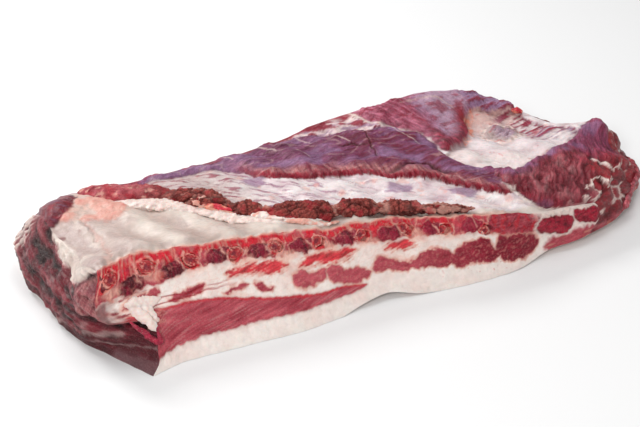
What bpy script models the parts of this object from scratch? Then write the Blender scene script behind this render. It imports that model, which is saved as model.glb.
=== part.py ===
"""Whole bone-in pork belly slab, rind off, lying with the rib side up.

+X runs from the shoulder end to the flank end, +Y from the sawn loin side to the
belly side, +Z up. The origin is under the middle of the slab, on the surface it
lies on. Sizes are in millimetres and turned into metres once, in `to_metres`.

The slab is shaped in block coordinates: a runs along it, b across it and c through
its thickness, each from 0 to 1. `slab_point` turns them into a place. Every layer is
the part of the block between two surfaces of c, so layers keep the slab's outline.
"""
import math

import bmesh
import bpy
import numpy as np

MM = 0.001
GAP = 0.35          # clearance between neighbouring tissues
CENTRE = (-5.5, -0.2, 0.0)  # moves the outline so that the box is centred

# Outline in plan: the two long sides by share of length, the two ends by place across.
FRONT = ((0, -121), (.1, -113), (.22, -114), (.30, -115), (.39, -112), (.46, -106), (.535, -102),
         (.59, -106), (.65, -109), (.74, -111), (.83, -108), (.89, -100), (1, -91))
BACK = ((0, 90), (.05, 98), (.11, 99), (.2, 94), (.3, 93), (.42, 94), (.51, 98), (.56, 106),
        (.66, 112), (.75, 113), (.84, 116), (.91, 116), (.97, 110), (1, 103))
SHOULDER_END = ((-121, -228), (-77, -253), (-56, -267), (-27, -275), (9, -280), (36, -284),
                (71, -284), (90, -275), (101, -258))
FLANK_END = ((-100, 178), (-91, 206), (-82, 230), (-68, 250), (-47, 272), (-24, 291), (3, 295),
             (21, 286), (33, 268), (46, 252), (63, 241), (81, 231), (100, 218), (120, 204))

# How far the top of the sawn side lies behind its foot, and where its foot lifts.
SETBACK = ((0, 50), (.1, 55), (.3, 52), (.4, 45), (.5, 35), (.6, 28), (.7, 26), (.8, 22),
           (.9, 12), (1, 8))
LIFT = ((0, 0), (.4, 0), (.53, 7), (.62, 1), (.7, 0), (.86, 1), (.93, 5), (1, 6))

# Height of the upper side along the slab, on five lines from the sawn side to the back.
HEIGHT = {
    0.00: ((0, 74), (.1, 75), (.2, 71), (.3, 68), (.4, 64), (.5, 60), (.6, 55), (.7, 49),
           (.8, 42), (.9, 36), (1, 31)),
    0.25: ((0, 60), (.1, 67), (.2, 65), (.3, 61), (.4, 57), (.5, 54), (.6, 50), (.7, 47),
           (.8, 44), (.9, 40), (1, 33)),
    0.50: ((0, 56), (.1, 65), (.2, 64), (.3, 61), (.4, 59), (.5, 56), (.6, 53), (.7, 50),
           (.8, 47), (.9, 47), (1, 42)),
    0.75: ((0, 50), (.1, 60), (.3, 60), (.5, 60), (.6, 60), (.7, 57), (.8, 48), (.9, 42),
           (1, 44)),
    1.00: ((0, 40), (.06, 46), (.2, 50), (.3, 52), (.4, 55), (.5, 59), (.56, 61), (.66, 63),
           (.75, 66), (.84, 67), (.91, 64), (.97, 55), (1, 47)),
}
SIDE_BULGE = 7.0     # the back swells by this at half height
END_LEAN = 26.0      # the shoulder end leans in by this at the top
FLANK_LEAN = 30.0    # and the flank end by this, less towards the back
FLANK_SQUARE = 18.0
TUCK = 6.0           # and both tuck in by this at the foot
FLAT_UNDER = 0.5     # lifts smaller than this are pressed flat by the slab's weight

# Where the tissues meet, as a share of the thickness along the slab.
BACK_FAT_TOP = ((0, .13), (.1, .14), (.2, .18), (.3, .20), (.4, .24), (.5, .26), (.6, .28),
                (.7, .29), (.8, .26), (.9, .22), (1, .20))
LEAN_SHEET_TOP = ((0, .50), (.1, .50), (.2, .47), (.3, .40), (.4, .34), (.5, .31))
RIB_BED_FLOOR = ((0, .70), (.1, .71), (.2, .74), (.6, .75), (.8, .76), (1, .72))
STREAK_LOW = ((.32, .48), (.36, .44), (.42, .40), (.5, .37), (.6, .36), (.7, .37), (.8, .35),
              (.88, .34))
STREAK_HIGH = ((.32, .56), (.36, .58), (.42, .56), (.5, .52), (.6, .55), (.7, .58), (.8, .63),
               (.88, .60))
PLEURA_EDGE = ((0, .80), (.1, .72), (.2, .56), (.3, .42), (.4, .30), (.5, .20), (.6, .12),
               (.75, .08))
FLANK_START = 0.76

STREAK_SPAN = (0.32, 0.88)
STREAK_LUMPS = 6
STREAK_WAVE = 1.5

CELLS_ALONG = 28
CELLS_ACROSS = 8
REGION_CELLS = 24
REGION_LEVELS = (0.4, 1.25)

RIB_COUNT = 10
RIB_FIRST = -239.0   # centre of the first sawn end along X
RIB_PITCH = 36.0
RIB_LEVEL = 0.855    # height of the rib centres as a share of the thickness
RIB_WIDTH = (15.0, 12.0)
RIB_HEIGHT = (17.0, 10.5)
RIB_DEPTH = (0.56, 0.10)
RIB_SIDES = 10
RIB_STATIONS = 5
RIB_TAPER = 0.25

STRIP_LUMPS = 9
STRIP_SIDES = 8
STRIP_WIDTH = 21.0
STRIP_HEIGHT = 11.0
STRIP_SPAN = (0.05, 0.80)
STRIP_LINE = ((0, .84), (.1, .74), (.2, .60), (.3, .46), (.4, .33), (.5, .23), (.6, .15),
              (.7, .10), (.8, .07))

WHITE_FAT = (0.86, 0.74, 0.70, 1)
PINK_FAT = (0.82, 0.62, 0.57, 1)
ROSE_MEAT = (0.48, 0.10, 0.10, 1)
RED_MEAT = (0.36, 0.04, 0.04, 1)
DARK_MEAT = (0.20, 0.02, 0.03, 1)
PURPLE_MEAT = (0.24, 0.06, 0.09, 1)
BROWN_MEAT = (0.26, 0.07, 0.05, 1)
SAWN_BONE = (0.68, 0.42, 0.36, 1)


def curve(knots, at):
    """Smooth curve through (place, value) knots that doesn't swing past them."""
    table = np.asarray(knots, float)
    place, value = table[:, 0], table[:, 1]
    step = np.diff(place)
    rise = np.diff(value) / step
    slope = np.empty(len(place))
    slope[0], slope[-1] = rise[0], rise[-1]
    for k in range(1, len(place) - 1):
        before, after = rise[k - 1], rise[k]
        if before * after <= 0:
            slope[k] = 0.0
            continue
        w1 = 2 * step[k] + step[k - 1]
        w2 = step[k] + 2 * step[k - 1]
        slope[k] = (w1 + w2) / (w1 / before + w2 / after)
    at = np.clip(np.asarray(at, float), place[0], place[-1])
    k = np.clip(np.searchsorted(place, at, side="right") - 1, 0, len(step) - 1)
    t = (at - place[k]) / step[k]
    return ((2 * t**3 - 3 * t**2 + 1) * value[k] + (t**3 - 2 * t**2 + t) * step[k] * slope[k]
            + (3 * t**2 - 2 * t**3) * value[k + 1] + (t**3 - t**2) * step[k] * slope[k + 1])


def top_height(a, b):
    """Height of the upper side, smooth across its five lines."""
    lines = np.array(sorted(HEIGHT))
    last = len(lines) - 1
    heights = np.array([curve(HEIGHT[line], a) for line in sorted(HEIGHT)])
    i = min(max(int(np.searchsorted(lines, b, side="right")) - 1, 0), last - 1)
    t = (b - lines[i]) / (lines[i + 1] - lines[i])
    before, here, there, after = (heights[min(max(i + k, 0), last)] for k in (-1, 0, 1, 2))
    return 0.5 * (2 * here + (there - before) * t
                  + (2 * before - 5 * here + 4 * there - after) * t**2
                  + (3 * here - before - 3 * there + after) * t**3)


def ease(start, end, value):
    """0 before start, 1 after end, smooth between."""
    t = min(max((value - start) / (end - start), 0.0), 1.0)
    return t * t * (3 - 2 * t)


def slab_point(a, b, c):
    """Place in the slab, in mm, for block coordinates a, b and c."""
    front, back = float(curve(FRONT, a)), float(curve(BACK, a))
    middle = min(max(c, 0.0), 1.0)
    swell = SIDE_BULGE * max(math.sin(math.pi * middle), 0.0) ** 0.8 - 3 * c
    y = front + float(curve(SETBACK, a)) * c * max(1 - b, 0.0) ** 1.3
    y += b * (back - front) + swell * b**3
    y -= 7 * a**12 * (1 - b) ** 2 * (1 - c)
    left, right = float(curve(SHOULDER_END, y)), float(curve(FLANK_END, y))
    x = left + a * (right - left)
    near_end = (1 - a) ** 5 * ease(0.0, 0.35, b)
    x += (END_LEAN * middle ** 2.2 + TUCK * (1 - middle) ** 3) * near_end
    x -= ((FLANK_LEAN - FLANK_SQUARE * b) * middle**2 + TUCK * (1 - middle) ** 3) * a**6
    low = float(curve(LIFT, a)) * max(1 - b, 0.0) ** 2.5 + 3 * a**10
    low = max(low + TUCK * max(1 - a, 0.0) ** 14 * b**2 - FLAT_UNDER, 0.0)
    z = low + c * (float(top_height(a, b)) - low)
    return x, y, z


def thickness(a, b):
    """Thickness of the slab, in mm."""
    return slab_point(a, b, 1)[2] - slab_point(a, b, 0)[2]


def to_metres(point):
    """Design point in mm to the object's frame in metres."""
    return tuple((value + shift) * MM for value, shift in zip(point, CENTRE))


def material(name, colour, roughness):
    """Principled material of one tissue."""
    finish = bpy.data.materials.new(name)
    finish.use_nodes = True
    shader = finish.node_tree.nodes["Principled BSDF"]
    shader.inputs["Base Color"].default_value = colour
    shader.inputs["Roughness"].default_value = roughness
    shader.inputs["Metallic"].default_value = 0.0
    return finish


def finish_object(name, shape, finish):
    """Turn a bmesh into a linked object with its faces pointing out."""
    bmesh.ops.recalc_face_normals(shape, faces=shape.faces)
    if shape.calc_volume(signed=True) < 0:
        bmesh.ops.reverse_faces(shape, faces=shape.faces)
    mesh = bpy.data.meshes.new(name)
    shape.to_mesh(mesh)
    shape.free()
    mesh.materials.append(finish)
    thing = bpy.data.objects.new(name, mesh)
    bpy.context.scene.collection.objects.link(thing)
    return thing


def slab_grid(cells, place_low, place_high):
    """Closed block: a grid of cells extruded once, its two sides placed by functions.

    Each function turns a vertex's place in the unit square into a point in metres. The
    walls are split along one rule, so that neighbouring blocks have matching walls.
    """
    shape = bmesh.new()
    bmesh.ops.create_grid(shape, x_segments=cells[0], y_segments=cells[1], size=0.5)
    bmesh.ops.translate(shape, verts=shape.verts, vec=(0.5, 0.5, 0))
    bmesh.ops.triangulate(shape, faces=shape.faces)
    floor = list(shape.verts)
    raised = bmesh.ops.extrude_face_region(shape, geom=shape.faces[:], use_keep_orig=True)
    roof = [item for item in raised["geom"] if isinstance(item, bmesh.types.BMVert)]
    for wall in [face for face in shape.faces if len(face.verts) == 4]:
        foot = min((v for v in wall.verts if v in floor), key=lambda v: v.co.x + v.co.y)
        head = max((v for v in wall.verts if v in roof), key=lambda v: v.co.x + v.co.y)
        bmesh.utils.face_split(wall, foot, head)
    for verts, place in ((floor, place_low), (roof, place_high)):
        for vert in verts:
            vert.co = place(vert.co.x, vert.co.y)
    return shape


def lines(count, first=0.0, last=1.0):
    """Evenly spaced grid lines for a number of cells."""
    return [first + (last - first) * k / count for k in range(count + 1)]


def block(low, high, along=None, across=None):
    """Closed block of the slab between the surfaces low(a, b) and high(a, b)."""
    along = along or lines(CELLS_ALONG)
    across = across or lines(CELLS_ACROSS)
    cells = len(along) - 1, len(across) - 1

    def placed(surface):
        def place(u, v):
            a, b = along[round(u * cells[0])], across[round(v * cells[1])]
            return to_metres(slab_point(a, b, surface(a, b)))
        return place

    return slab_grid(cells, placed(low), placed(high))


def tube(sides, lengths):
    """Closed tube of radius 1 along Z from 0, divided once every unit of length."""
    shape = bmesh.new()
    bmesh.ops.create_cone(shape, segments=sides, radius1=1.0, radius2=1.0, depth=lengths,
                          cap_ends=True)
    bmesh.ops.translate(shape, verts=shape.verts, vec=(0, 0, lengths / 2))
    for height in range(1, lengths):
        bmesh.ops.bisect_plane(shape, geom=shape.verts[:] + shape.edges[:] + shape.faces[:],
                               plane_co=(0, 0, height), plane_no=(0, 0, 1))
    return shape


def cut(target, cutter, operation="DIFFERENCE"):
    """Boolean of the target with a hidden cutter."""
    cutter.hide_render = True
    cutter.display_type = "WIRE"
    step = target.modifiers.new(cutter.name, "BOOLEAN")
    step.operation = operation
    step.object = cutter
    step.solver = "EXACT"


def level(knots, shift=0.0):
    """Surface at a share of the thickness, moved by shift mm."""
    return lambda a, b: float(curve(knots, a)) + shift / thickness(a, b)


def make_back_fat(finish):
    """Fat under the removed rind, the whole underside."""
    shape = block(lambda a, b: 0.0, level(BACK_FAT_TOP))
    return finish_object("back_fat", shape, finish)


def make_lean_sheet(finish):
    """Thick lean that tapers out halfway along."""
    along = lines(CELLS_ALONG)[:CELLS_ALONG // 2 + 1]
    along[-1] -= GAP / 500
    shape = block(level(BACK_FAT_TOP, GAP), level(LEAN_SHEET_TOP), along)
    return finish_object("lean_sheet", shape, finish)


def seam_floor(a, b):
    """Underside of the seam fat: on the lean sheet, then on the back fat."""
    knots = LEAN_SHEET_TOP if a < 0.5 + GAP / 500 else BACK_FAT_TOP
    return level(knots, GAP)(a, b)


def streak_block(grow):
    """Upper lean, a chain of lumps, grown by a clearance in mm."""
    first, last = STREAK_SPAN

    def lump(a):
        return 0.5 - 0.5 * math.cos(2 * math.pi * STREAK_LUMPS * (a - first) / (last - first))

    def low(a, b):
        return level(STREAK_LOW, STREAK_WAVE * (1 - lump(a)) - grow)(a, b)

    def high(a, b):
        return level(STREAK_HIGH, STREAK_WAVE * (lump(a) - 1) + grow)(a, b)

    along = lines(3 * STREAK_LUMPS, first, last)
    across = lines(6)
    if grow:
        along[0] -= grow / 480
        along[-1] += grow / 480
        across = [-0.03] + across + [1.03]
    return block(low, high, along, across)


def make_seam(fat, lean):
    """Seam fat between the lean and the ribs, with the upper lean running through it."""
    shape = block(seam_floor, level(RIB_BED_FLOOR, -GAP))
    seam = finish_object("seam_fat", shape, fat)
    streak = finish_object("lean_streak", streak_block(0), lean)
    cut(seam, finish_object("cut_streak", streak_block(GAP), lean))
    return seam, streak


def region_cutter(name, finish, along, rows_at):
    """Prism round one region of the upper layer: rows_at(a) gives its b values at a."""
    rows = len(rows_at(0.5)) - 1

    def placed(height):
        def place(u, v):
            a = along[0] + u * (along[1] - along[0])
            return to_metres(slab_point(a, rows_at(a)[round(v * rows)], height))
        return place

    shape = slab_grid((REGION_CELLS, rows), placed(REGION_LEVELS[0]), placed(REGION_LEVELS[1]))
    return finish_object(name, shape, finish)


def make_upper(rib_meat, wall_meat, flank_meat):
    """Rib bed, belly wall and flank muscle: the upper layer in three regions."""
    gap_b = 3 * GAP / 180
    gap_a = 2 * GAP / 480
    front, back = -0.2, 1.2

    def edge(a):
        return float(curve(PLEURA_EDGE, a))

    regions = (
        ("rib_bed", rib_meat, (-0.1, FLANK_START - gap_a), lambda a: (front, edge(a) - gap_b)),
        ("belly_wall", wall_meat, (-0.1, FLANK_START - gap_a), lambda a: (edge(a), back)),
        ("flank_muscle", flank_meat, (FLANK_START, 1.1), lambda a: (front, edge(a), back)),
    )
    pieces = []
    for name, finish, along, rows_at in regions:
        shape = block(level(RIB_BED_FLOOR), lambda a, b: 1.0)
        piece = finish_object(name, shape, finish)
        cut(piece, region_cutter("cut_" + name, finish, along, rows_at), "INTERSECT")
        pieces.append(piece)
    return pieces


def block_a(x, b, c):
    """Share of length a at which the slab's X is x."""
    low, high = 0.0, 1.0
    for _ in range(30):
        middle = 0.5 * (low + high)
        if slab_point(middle, b, c)[0] < x:
            low = middle
        else:
            high = middle
    return 0.5 * (low + high)


def rib_shape(number, grow):
    """One rib: a flat bar from the sawn side into the slab, grown by a clearance."""
    share = number / (RIB_COUNT - 1)
    width = RIB_WIDTH[0] + share * (RIB_WIDTH[1] - RIB_WIDTH[0])
    height = RIB_HEIGHT[0] + share * (RIB_HEIGHT[1] - RIB_HEIGHT[0])
    x = RIB_FIRST + number * RIB_PITCH
    a = block_a(x, 0.0, RIB_LEVEL)
    depth = min(RIB_DEPTH[0] + share * (RIB_DEPTH[1] - RIB_DEPTH[0]),
                float(curve(PLEURA_EDGE, a)) - 0.03)
    stations = lines(RIB_STATIONS - 1, 0.0, depth)
    if grow:
        stations[-1] += grow / 170
        stations.insert(0, -0.06)
    shape = tube(RIB_SIDES, len(stations) - 1)
    for vert in shape.verts:
        b = stations[round(vert.co.z)]
        centre = slab_point(a, b, RIB_LEVEL)
        slim = 1 - RIB_TAPER * min(max(b / depth, 0), 1)
        offset_x = vert.co.x * (0.5 * width * slim + grow)
        slim *= thickness(a, b) / thickness(a, 0)
        offset_z = vert.co.y * (0.5 * height * slim + grow)
        tilt = offset_z * float(curve(SETBACK, a)) / thickness(a, 0) * max(1 - b, 0) ** 1.3
        vert.co = to_metres((centre[0] + offset_x, centre[1] + tilt, centre[2] + offset_z))
    return shape


def make_ribs(bed, bone):
    """Ten ribs in their pockets, numbered from the shoulder end."""
    ribs = []
    for number in range(RIB_COUNT):
        ribs.append(finish_object(f"rib_{number + 1:02d}", rib_shape(number, 0), bone))
        cutter = finish_object(f"cut_rib_{number + 1:02d}", rib_shape(number, GAP), bone)
        cut(bed, cutter)
    return ribs


def strip_shape(grow):
    """Diaphragm strip: a lumpy half-sunk roll along the edge of the lining."""
    stations = STRIP_LUMPS * 3 + 1
    shape = tube(STRIP_SIDES, stations - 1)
    first, last = STRIP_SPAN
    for vert in shape.verts:
        share = vert.co.z / (stations - 1)
        a = first + share * (last - first)
        b = float(curve(STRIP_LINE, a))
        centre = slab_point(a, b, 1.0)
        lump = 0.80 + 0.20 * abs(math.sin(math.pi * STRIP_LUMPS * share))
        taper = min(1.0, 0.35 + 3.2 * share, 0.35 + 3.2 * (1 - share))
        across = vert.co.y * (0.5 * STRIP_WIDTH * lump * taper + grow)
        up = vert.co.x * (0.5 * STRIP_HEIGHT * lump * taper + grow)
        ends = grow * (1 if share == 1 else -1 if share == 0 else 0)
        vert.co = to_metres((centre[0] + ends, centre[1] + across, centre[2] + 1.5 + up))
    return shape


def make_strip(hosts, finish):
    """Diaphragm strip in a groove of the tissue below it."""
    strip = finish_object("diaphragm_strip", strip_shape(0), finish)
    groove = finish_object("cut_strip", strip_shape(GAP), finish)
    for host in hosts:
        cut(host, groove)
    return strip


def main():
    for thing in list(bpy.data.objects):
        bpy.data.objects.remove(thing)
    fat = material("back_fat", WHITE_FAT, 0.45)
    seam = material("seam_fat", PINK_FAT, 0.40)
    lean = material("rose_lean", ROSE_MEAT, 0.40)
    intercostal = material("intercostal_muscle", RED_MEAT, 0.35)
    flank = material("flank_muscle", DARK_MEAT, 0.35)
    wall = material("belly_wall_muscle", PURPLE_MEAT, 0.35)
    diaphragm = material("diaphragm", BROWN_MEAT, 0.50)
    bone = material("sawn_bone", SAWN_BONE, 0.50)

    make_back_fat(fat)
    make_lean_sheet(lean)
    make_seam(seam, lean)
    rib_bed, belly_wall, flank_muscle = make_upper(intercostal, wall, flank)
    make_ribs(rib_bed, bone)
    make_strip((rib_bed, belly_wall, flank_muscle), diaphragm)


main()
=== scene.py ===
"""Looks of a whole bone-in pork belly slab, lying with its rib side up.

The skin of the slab is four closed pieces: the sawn loin side, the rib side, the
ends with the belly side, and the underside. Each is a fine sheet laid over the
block form of the construction model, painted tissue by tissue from outlines in
millimetres and lifted by the same outlines, so that colour and relief agree. The
sawn rib ends, the diaphragm, the torn flaps and the loose strands are pieces of
their own.
"""

import logging
import math
from dataclasses import dataclass, field
from enum import Enum
from typing import Any, Sequence

import bmesh
import bpy
import numpy as np
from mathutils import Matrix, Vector


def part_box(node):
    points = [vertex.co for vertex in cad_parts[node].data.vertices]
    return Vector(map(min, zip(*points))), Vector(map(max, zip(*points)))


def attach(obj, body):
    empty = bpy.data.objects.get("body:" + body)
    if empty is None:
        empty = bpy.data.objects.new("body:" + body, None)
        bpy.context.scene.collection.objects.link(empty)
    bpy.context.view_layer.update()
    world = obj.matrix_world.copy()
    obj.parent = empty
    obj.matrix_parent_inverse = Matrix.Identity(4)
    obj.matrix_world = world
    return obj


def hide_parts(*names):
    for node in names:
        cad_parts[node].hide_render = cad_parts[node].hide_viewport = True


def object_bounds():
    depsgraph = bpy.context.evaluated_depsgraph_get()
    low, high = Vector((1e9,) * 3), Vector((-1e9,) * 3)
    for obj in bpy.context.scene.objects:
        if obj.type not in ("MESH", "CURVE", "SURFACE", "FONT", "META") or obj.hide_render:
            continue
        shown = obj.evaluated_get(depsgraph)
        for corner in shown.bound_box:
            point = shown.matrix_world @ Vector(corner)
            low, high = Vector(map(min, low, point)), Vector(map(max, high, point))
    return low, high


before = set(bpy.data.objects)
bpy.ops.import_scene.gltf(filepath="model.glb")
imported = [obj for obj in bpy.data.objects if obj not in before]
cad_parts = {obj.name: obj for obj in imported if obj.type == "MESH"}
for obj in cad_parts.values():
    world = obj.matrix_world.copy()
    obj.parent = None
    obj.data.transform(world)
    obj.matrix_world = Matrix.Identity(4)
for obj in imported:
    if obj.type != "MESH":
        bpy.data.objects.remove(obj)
CAD_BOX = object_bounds()

Array = np.ndarray
Knots = Sequence[tuple[float, float]]
MM = 0.001
WET_DEPTH = 0.22      # lean looks deeper wet than dry: the power its colour is raised by
LOG = logging.getLogger("pork_belly")


# ---------------------------------------------------------------- form

# The form of the construction model: its outline in plan, its heights and how its
# sides lean, in millimetres, by share of the length a, the width b and the depth c.
CENTRE = (-5.5, -0.2, 0.0)
FRONT = ((0, -121), (.1, -113), (.22, -114), (.30, -115), (.39, -112), (.46, -106), (.535, -102),
         (.59, -106), (.65, -109), (.74, -111), (.83, -108), (.89, -100), (1, -91))
BACK = ((0, 90), (.05, 98), (.11, 99), (.2, 94), (.3, 93), (.42, 94), (.51, 98), (.56, 106),
        (.66, 112), (.75, 113), (.84, 116), (.91, 116), (.97, 110), (1, 103))
SHOULDER_END = ((-121, -228), (-77, -253), (-56, -267), (-27, -275), (9, -280), (36, -284),
                (71, -284), (90, -275), (101, -258))
FLANK_END = ((-100, 178), (-91, 206), (-82, 230), (-68, 250), (-47, 272), (-24, 291), (3, 295),
             (21, 286), (33, 268), (46, 252), (63, 241), (81, 231), (100, 218), (120, 204))
SETBACK = ((0, 50), (.1, 55), (.3, 52), (.4, 45), (.5, 35), (.6, 28), (.7, 26), (.8, 22),
           (.9, 12), (1, 8))
LIFT = ((0, 0), (.4, 0), (.53, 7), (.62, 1), (.7, 0), (.86, 1), (.93, 5), (1, 6))
HEIGHT = {
    0.00: ((0, 74), (.1, 75), (.2, 71), (.3, 68), (.4, 64), (.5, 60), (.6, 55), (.7, 49),
           (.8, 42), (.9, 36), (1, 31)),
    0.25: ((0, 60), (.1, 67), (.2, 65), (.3, 61), (.4, 57), (.5, 54), (.6, 50), (.7, 47),
           (.8, 44), (.9, 40), (1, 33)),
    0.50: ((0, 56), (.1, 65), (.2, 64), (.3, 61), (.4, 59), (.5, 56), (.6, 53), (.7, 50),
           (.8, 47), (.9, 47), (1, 42)),
    0.75: ((0, 50), (.1, 60), (.3, 60), (.5, 60), (.6, 60), (.7, 57), (.8, 48), (.9, 42),
           (1, 44)),
    1.00: ((0, 40), (.06, 46), (.2, 50), (.3, 52), (.4, 55), (.5, 59), (.56, 61), (.66, 63),
           (.75, 66), (.84, 67), (.91, 64), (.97, 55), (1, 47)),
}
SIDE_BULGE = 7.0
END_LEAN = 26.0
FLANK_LEAN = 30.0
FLANK_SQUARE = 18.0
TUCK = 6.0
FLAT_UNDER = 0.5

# The corner between the shoulder end and the sawn side: the lean is cut back under the
# rib block, in mm along X by share of the thickness.
TOP_DIP = ((-245, 3.0), (-200, 5.0), (-150, 4.5), (-100, 4.0), (-60, 5.5), (20, 3.5), (95, 0.0))
CORNER_STEP = ((0, 2), (.1, 12), (.2, 16), (.3, 21), (.4, 25), (.46, 25), (.52, -8), (.6, -12),
               (.7, -9), (.8, -4), (.9, 3), (1, 8))


def curve(knots: Knots, at: Array) -> Array:
    """Smooth curve through knots that doesn't swing past them.

    Args:
        knots: Places and values, in rising order of place.
        at: Places to read.

    Returns:
        The value at each place.
    """
    table = np.asarray(knots, float)
    place, value = table[:, 0], table[:, 1]
    step = np.diff(place)
    rise = np.diff(value) / step
    before, after = rise[:-1], rise[1:]
    first, second = 2 * step[1:] + step[:-1], step[1:] + 2 * step[:-1]
    slope = np.empty(len(place))
    slope[0], slope[-1] = rise[0], rise[-1]
    same = before * after > 0
    safe_before, safe_after = np.where(same, before, 1.0), np.where(same, after, 1.0)
    slope[1:-1] = np.where(same, (first + second) / (first / safe_before + second / safe_after), 0)
    at = np.clip(np.asarray(at, float), place[0], place[-1])
    k = np.clip(np.searchsorted(place, at, side="right") - 1, 0, len(step) - 1)
    t = (at - place[k]) / step[k]
    return ((2 * t**3 - 3 * t**2 + 1) * value[k] + (t**3 - 2 * t**2 + t) * step[k] * slope[k]
            + (3 * t**2 - 2 * t**3) * value[k + 1] + (t**3 - t**2) * step[k] * slope[k + 1])


def ease(start: float, end: float, value: Array) -> Array:
    """0 before start, 1 after end and smooth between; start may be the larger."""
    t = np.clip((value - start) / (end - start), 0.0, 1.0)
    return t * t * (3 - 2 * t)


def band(value: Array, middle: float, half: float) -> Array:
    """1 where value is at middle, falling to 0 within half on both sides."""
    return ease(1.0, 0.0, np.abs(value - middle) / half)


def mix(first: Array, second: Array, share: Array) -> Array:
    """Blend of two values by share."""
    return first + (second - first) * share


class Slab:
    """The slab's outer form, in millimetres in the model's frame."""

    @staticmethod
    def top(a: Array, b: Array) -> Array:
        """Height of the rib side, smooth across its five lines."""
        lines = np.array(sorted(HEIGHT))
        last = len(lines) - 1
        heights = np.stack([curve(HEIGHT[line], a) for line in lines])
        i = np.clip(np.searchsorted(lines, b, side="right") - 1, 0, last - 1)
        t = (b - lines[i]) / (lines[i + 1] - lines[i])
        before, here, there, after = (
            np.take_along_axis(heights, np.clip(i + k, 0, last)[None], 0)[0] for k in (-1, 0, 1, 2))
        return 0.5 * (2 * here + (there - before) * t
                      + (2 * before - 5 * here + 4 * there - after) * t**2
                      + (3 * here - before - 3 * there + after) * t**3)

    @staticmethod
    def place(a: Array, b: Array, c: Array) -> Array:
        """Places in the slab for block coordinates.

        Args:
            a: Share of the length, from the shoulder end to the flank end.
            b: Share of the width, from the sawn side to the belly side.
            c: Share of the thickness, from below.

        Returns:
            Places in mm, with the three axes last.
        """
        a, b, c = np.broadcast_arrays(np.asarray(a, float), b, c)
        front, back = curve(FRONT, a), curve(BACK, a)
        middle = np.clip(c, 0, 1)
        swell = SIDE_BULGE * np.maximum(np.sin(np.pi * middle), 0) ** 0.8 - 3 * c
        y = front + curve(SETBACK, a) * c * np.maximum(1 - b, 0) ** 1.3
        y = y + b * (back - front) + swell * b**3 - 7 * a**12 * (1 - b) ** 2 * (1 - c)
        left, right = curve(SHOULDER_END, y), curve(FLANK_END, y)
        near_end = (1 - a) ** 5 * ease(0.0, 0.35, b)
        x = left + a * (right - left)
        x = x + (END_LEAN * middle**2.2 + TUCK * (1 - middle) ** 3) * near_end
        x = x - ((FLANK_LEAN - FLANK_SQUARE * b) * middle**2 + TUCK * (1 - middle) ** 3) * a**6
        low = curve(LIFT, a) * np.maximum(1 - b, 0) ** 2.5 + 3 * a**10
        low = np.maximum(low + TUCK * np.maximum(1 - a, 0) ** 14 * b**2 - FLAT_UNDER, 0)
        z = low + c * (Slab.top(a, b) - low)
        return np.stack([x, y, z], -1) + CENTRE


# ---------------------------------------------------------------- patterns

class Grain:
    """Smooth and cellular patterns in millimetres, the same on every run."""

    def __init__(self, seed: int) -> None:
        """Args: seed: Picks the pattern."""
        rng = np.random.default_rng(seed)
        self.order = rng.permutation(256)
        slopes = rng.normal(size=(256, 3))
        self.slopes = slopes / np.linalg.norm(slopes, axis=1)[:, None]
        self.points = rng.random((256, 3))

    def pick(self, cell: Array) -> Array:
        """A number from 0 to 255 for each cell of space."""
        first = self.order[cell[..., 0] & 255]
        second = self.order[(first + cell[..., 1]) & 255]
        return self.order[(second + cell[..., 2]) & 255]

    def smooth(self, place: Array, size: float | Sequence[float]) -> Array:
        """Gradient pattern from about -1 to 1 with lumps of the given size in mm."""
        scaled = place / np.asarray(size, float)
        cell = np.floor(scaled).astype(int)
        part = scaled - cell
        weight = part**3 * (part * (part * 6 - 15) + 10)
        total = np.zeros(place.shape[:-1])
        for corner in np.ndindex(2, 2, 2):
            slope = self.slopes[self.pick(cell + corner)]
            share = np.prod(np.where(corner, weight, 1 - weight), axis=-1)
            total += share * np.sum(slope * (part - corner), axis=-1)
        return total * 1.7

    def layers(self, place: Array, size: float | Sequence[float], count: int = 3) -> Array:
        """Sum of smooth patterns, each half as large and half as strong as the last."""
        total = np.zeros(place.shape[:-1])
        for k in range(count):
            total += self.smooth(place + 37.0 * k, np.asarray(size, float) / 2**k) / 2**k
        return total

    def cells(self, place: Array, size: float | Sequence[float]) -> tuple[Array, Array, Array]:
        """Cellular pattern.

        Args:
            place: Places in mm.
            size: Size of a cell in mm.

        Returns:
            Distance to the cell's centre, distance to its wall, and a tone per cell.
        """
        scaled = place / np.asarray(size, float)
        cell = np.floor(scaled).astype(int)
        nearest = np.full(place.shape[:-1], 9.0)
        second = nearest.copy()
        tone = np.zeros_like(nearest)
        for corner in np.ndindex(3, 3, 3):
            other = cell + corner - 1
            name = self.pick(other)
            gap = np.linalg.norm(other + self.points[name] - scaled, axis=-1)
            closer = gap < nearest
            second = np.where(closer, nearest, np.minimum(second, gap))
            tone = np.where(closer, name / 255.0, tone)
            nearest = np.where(closer, gap, nearest)
        return nearest, second - nearest, tone


GRAIN = Grain(7)


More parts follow.
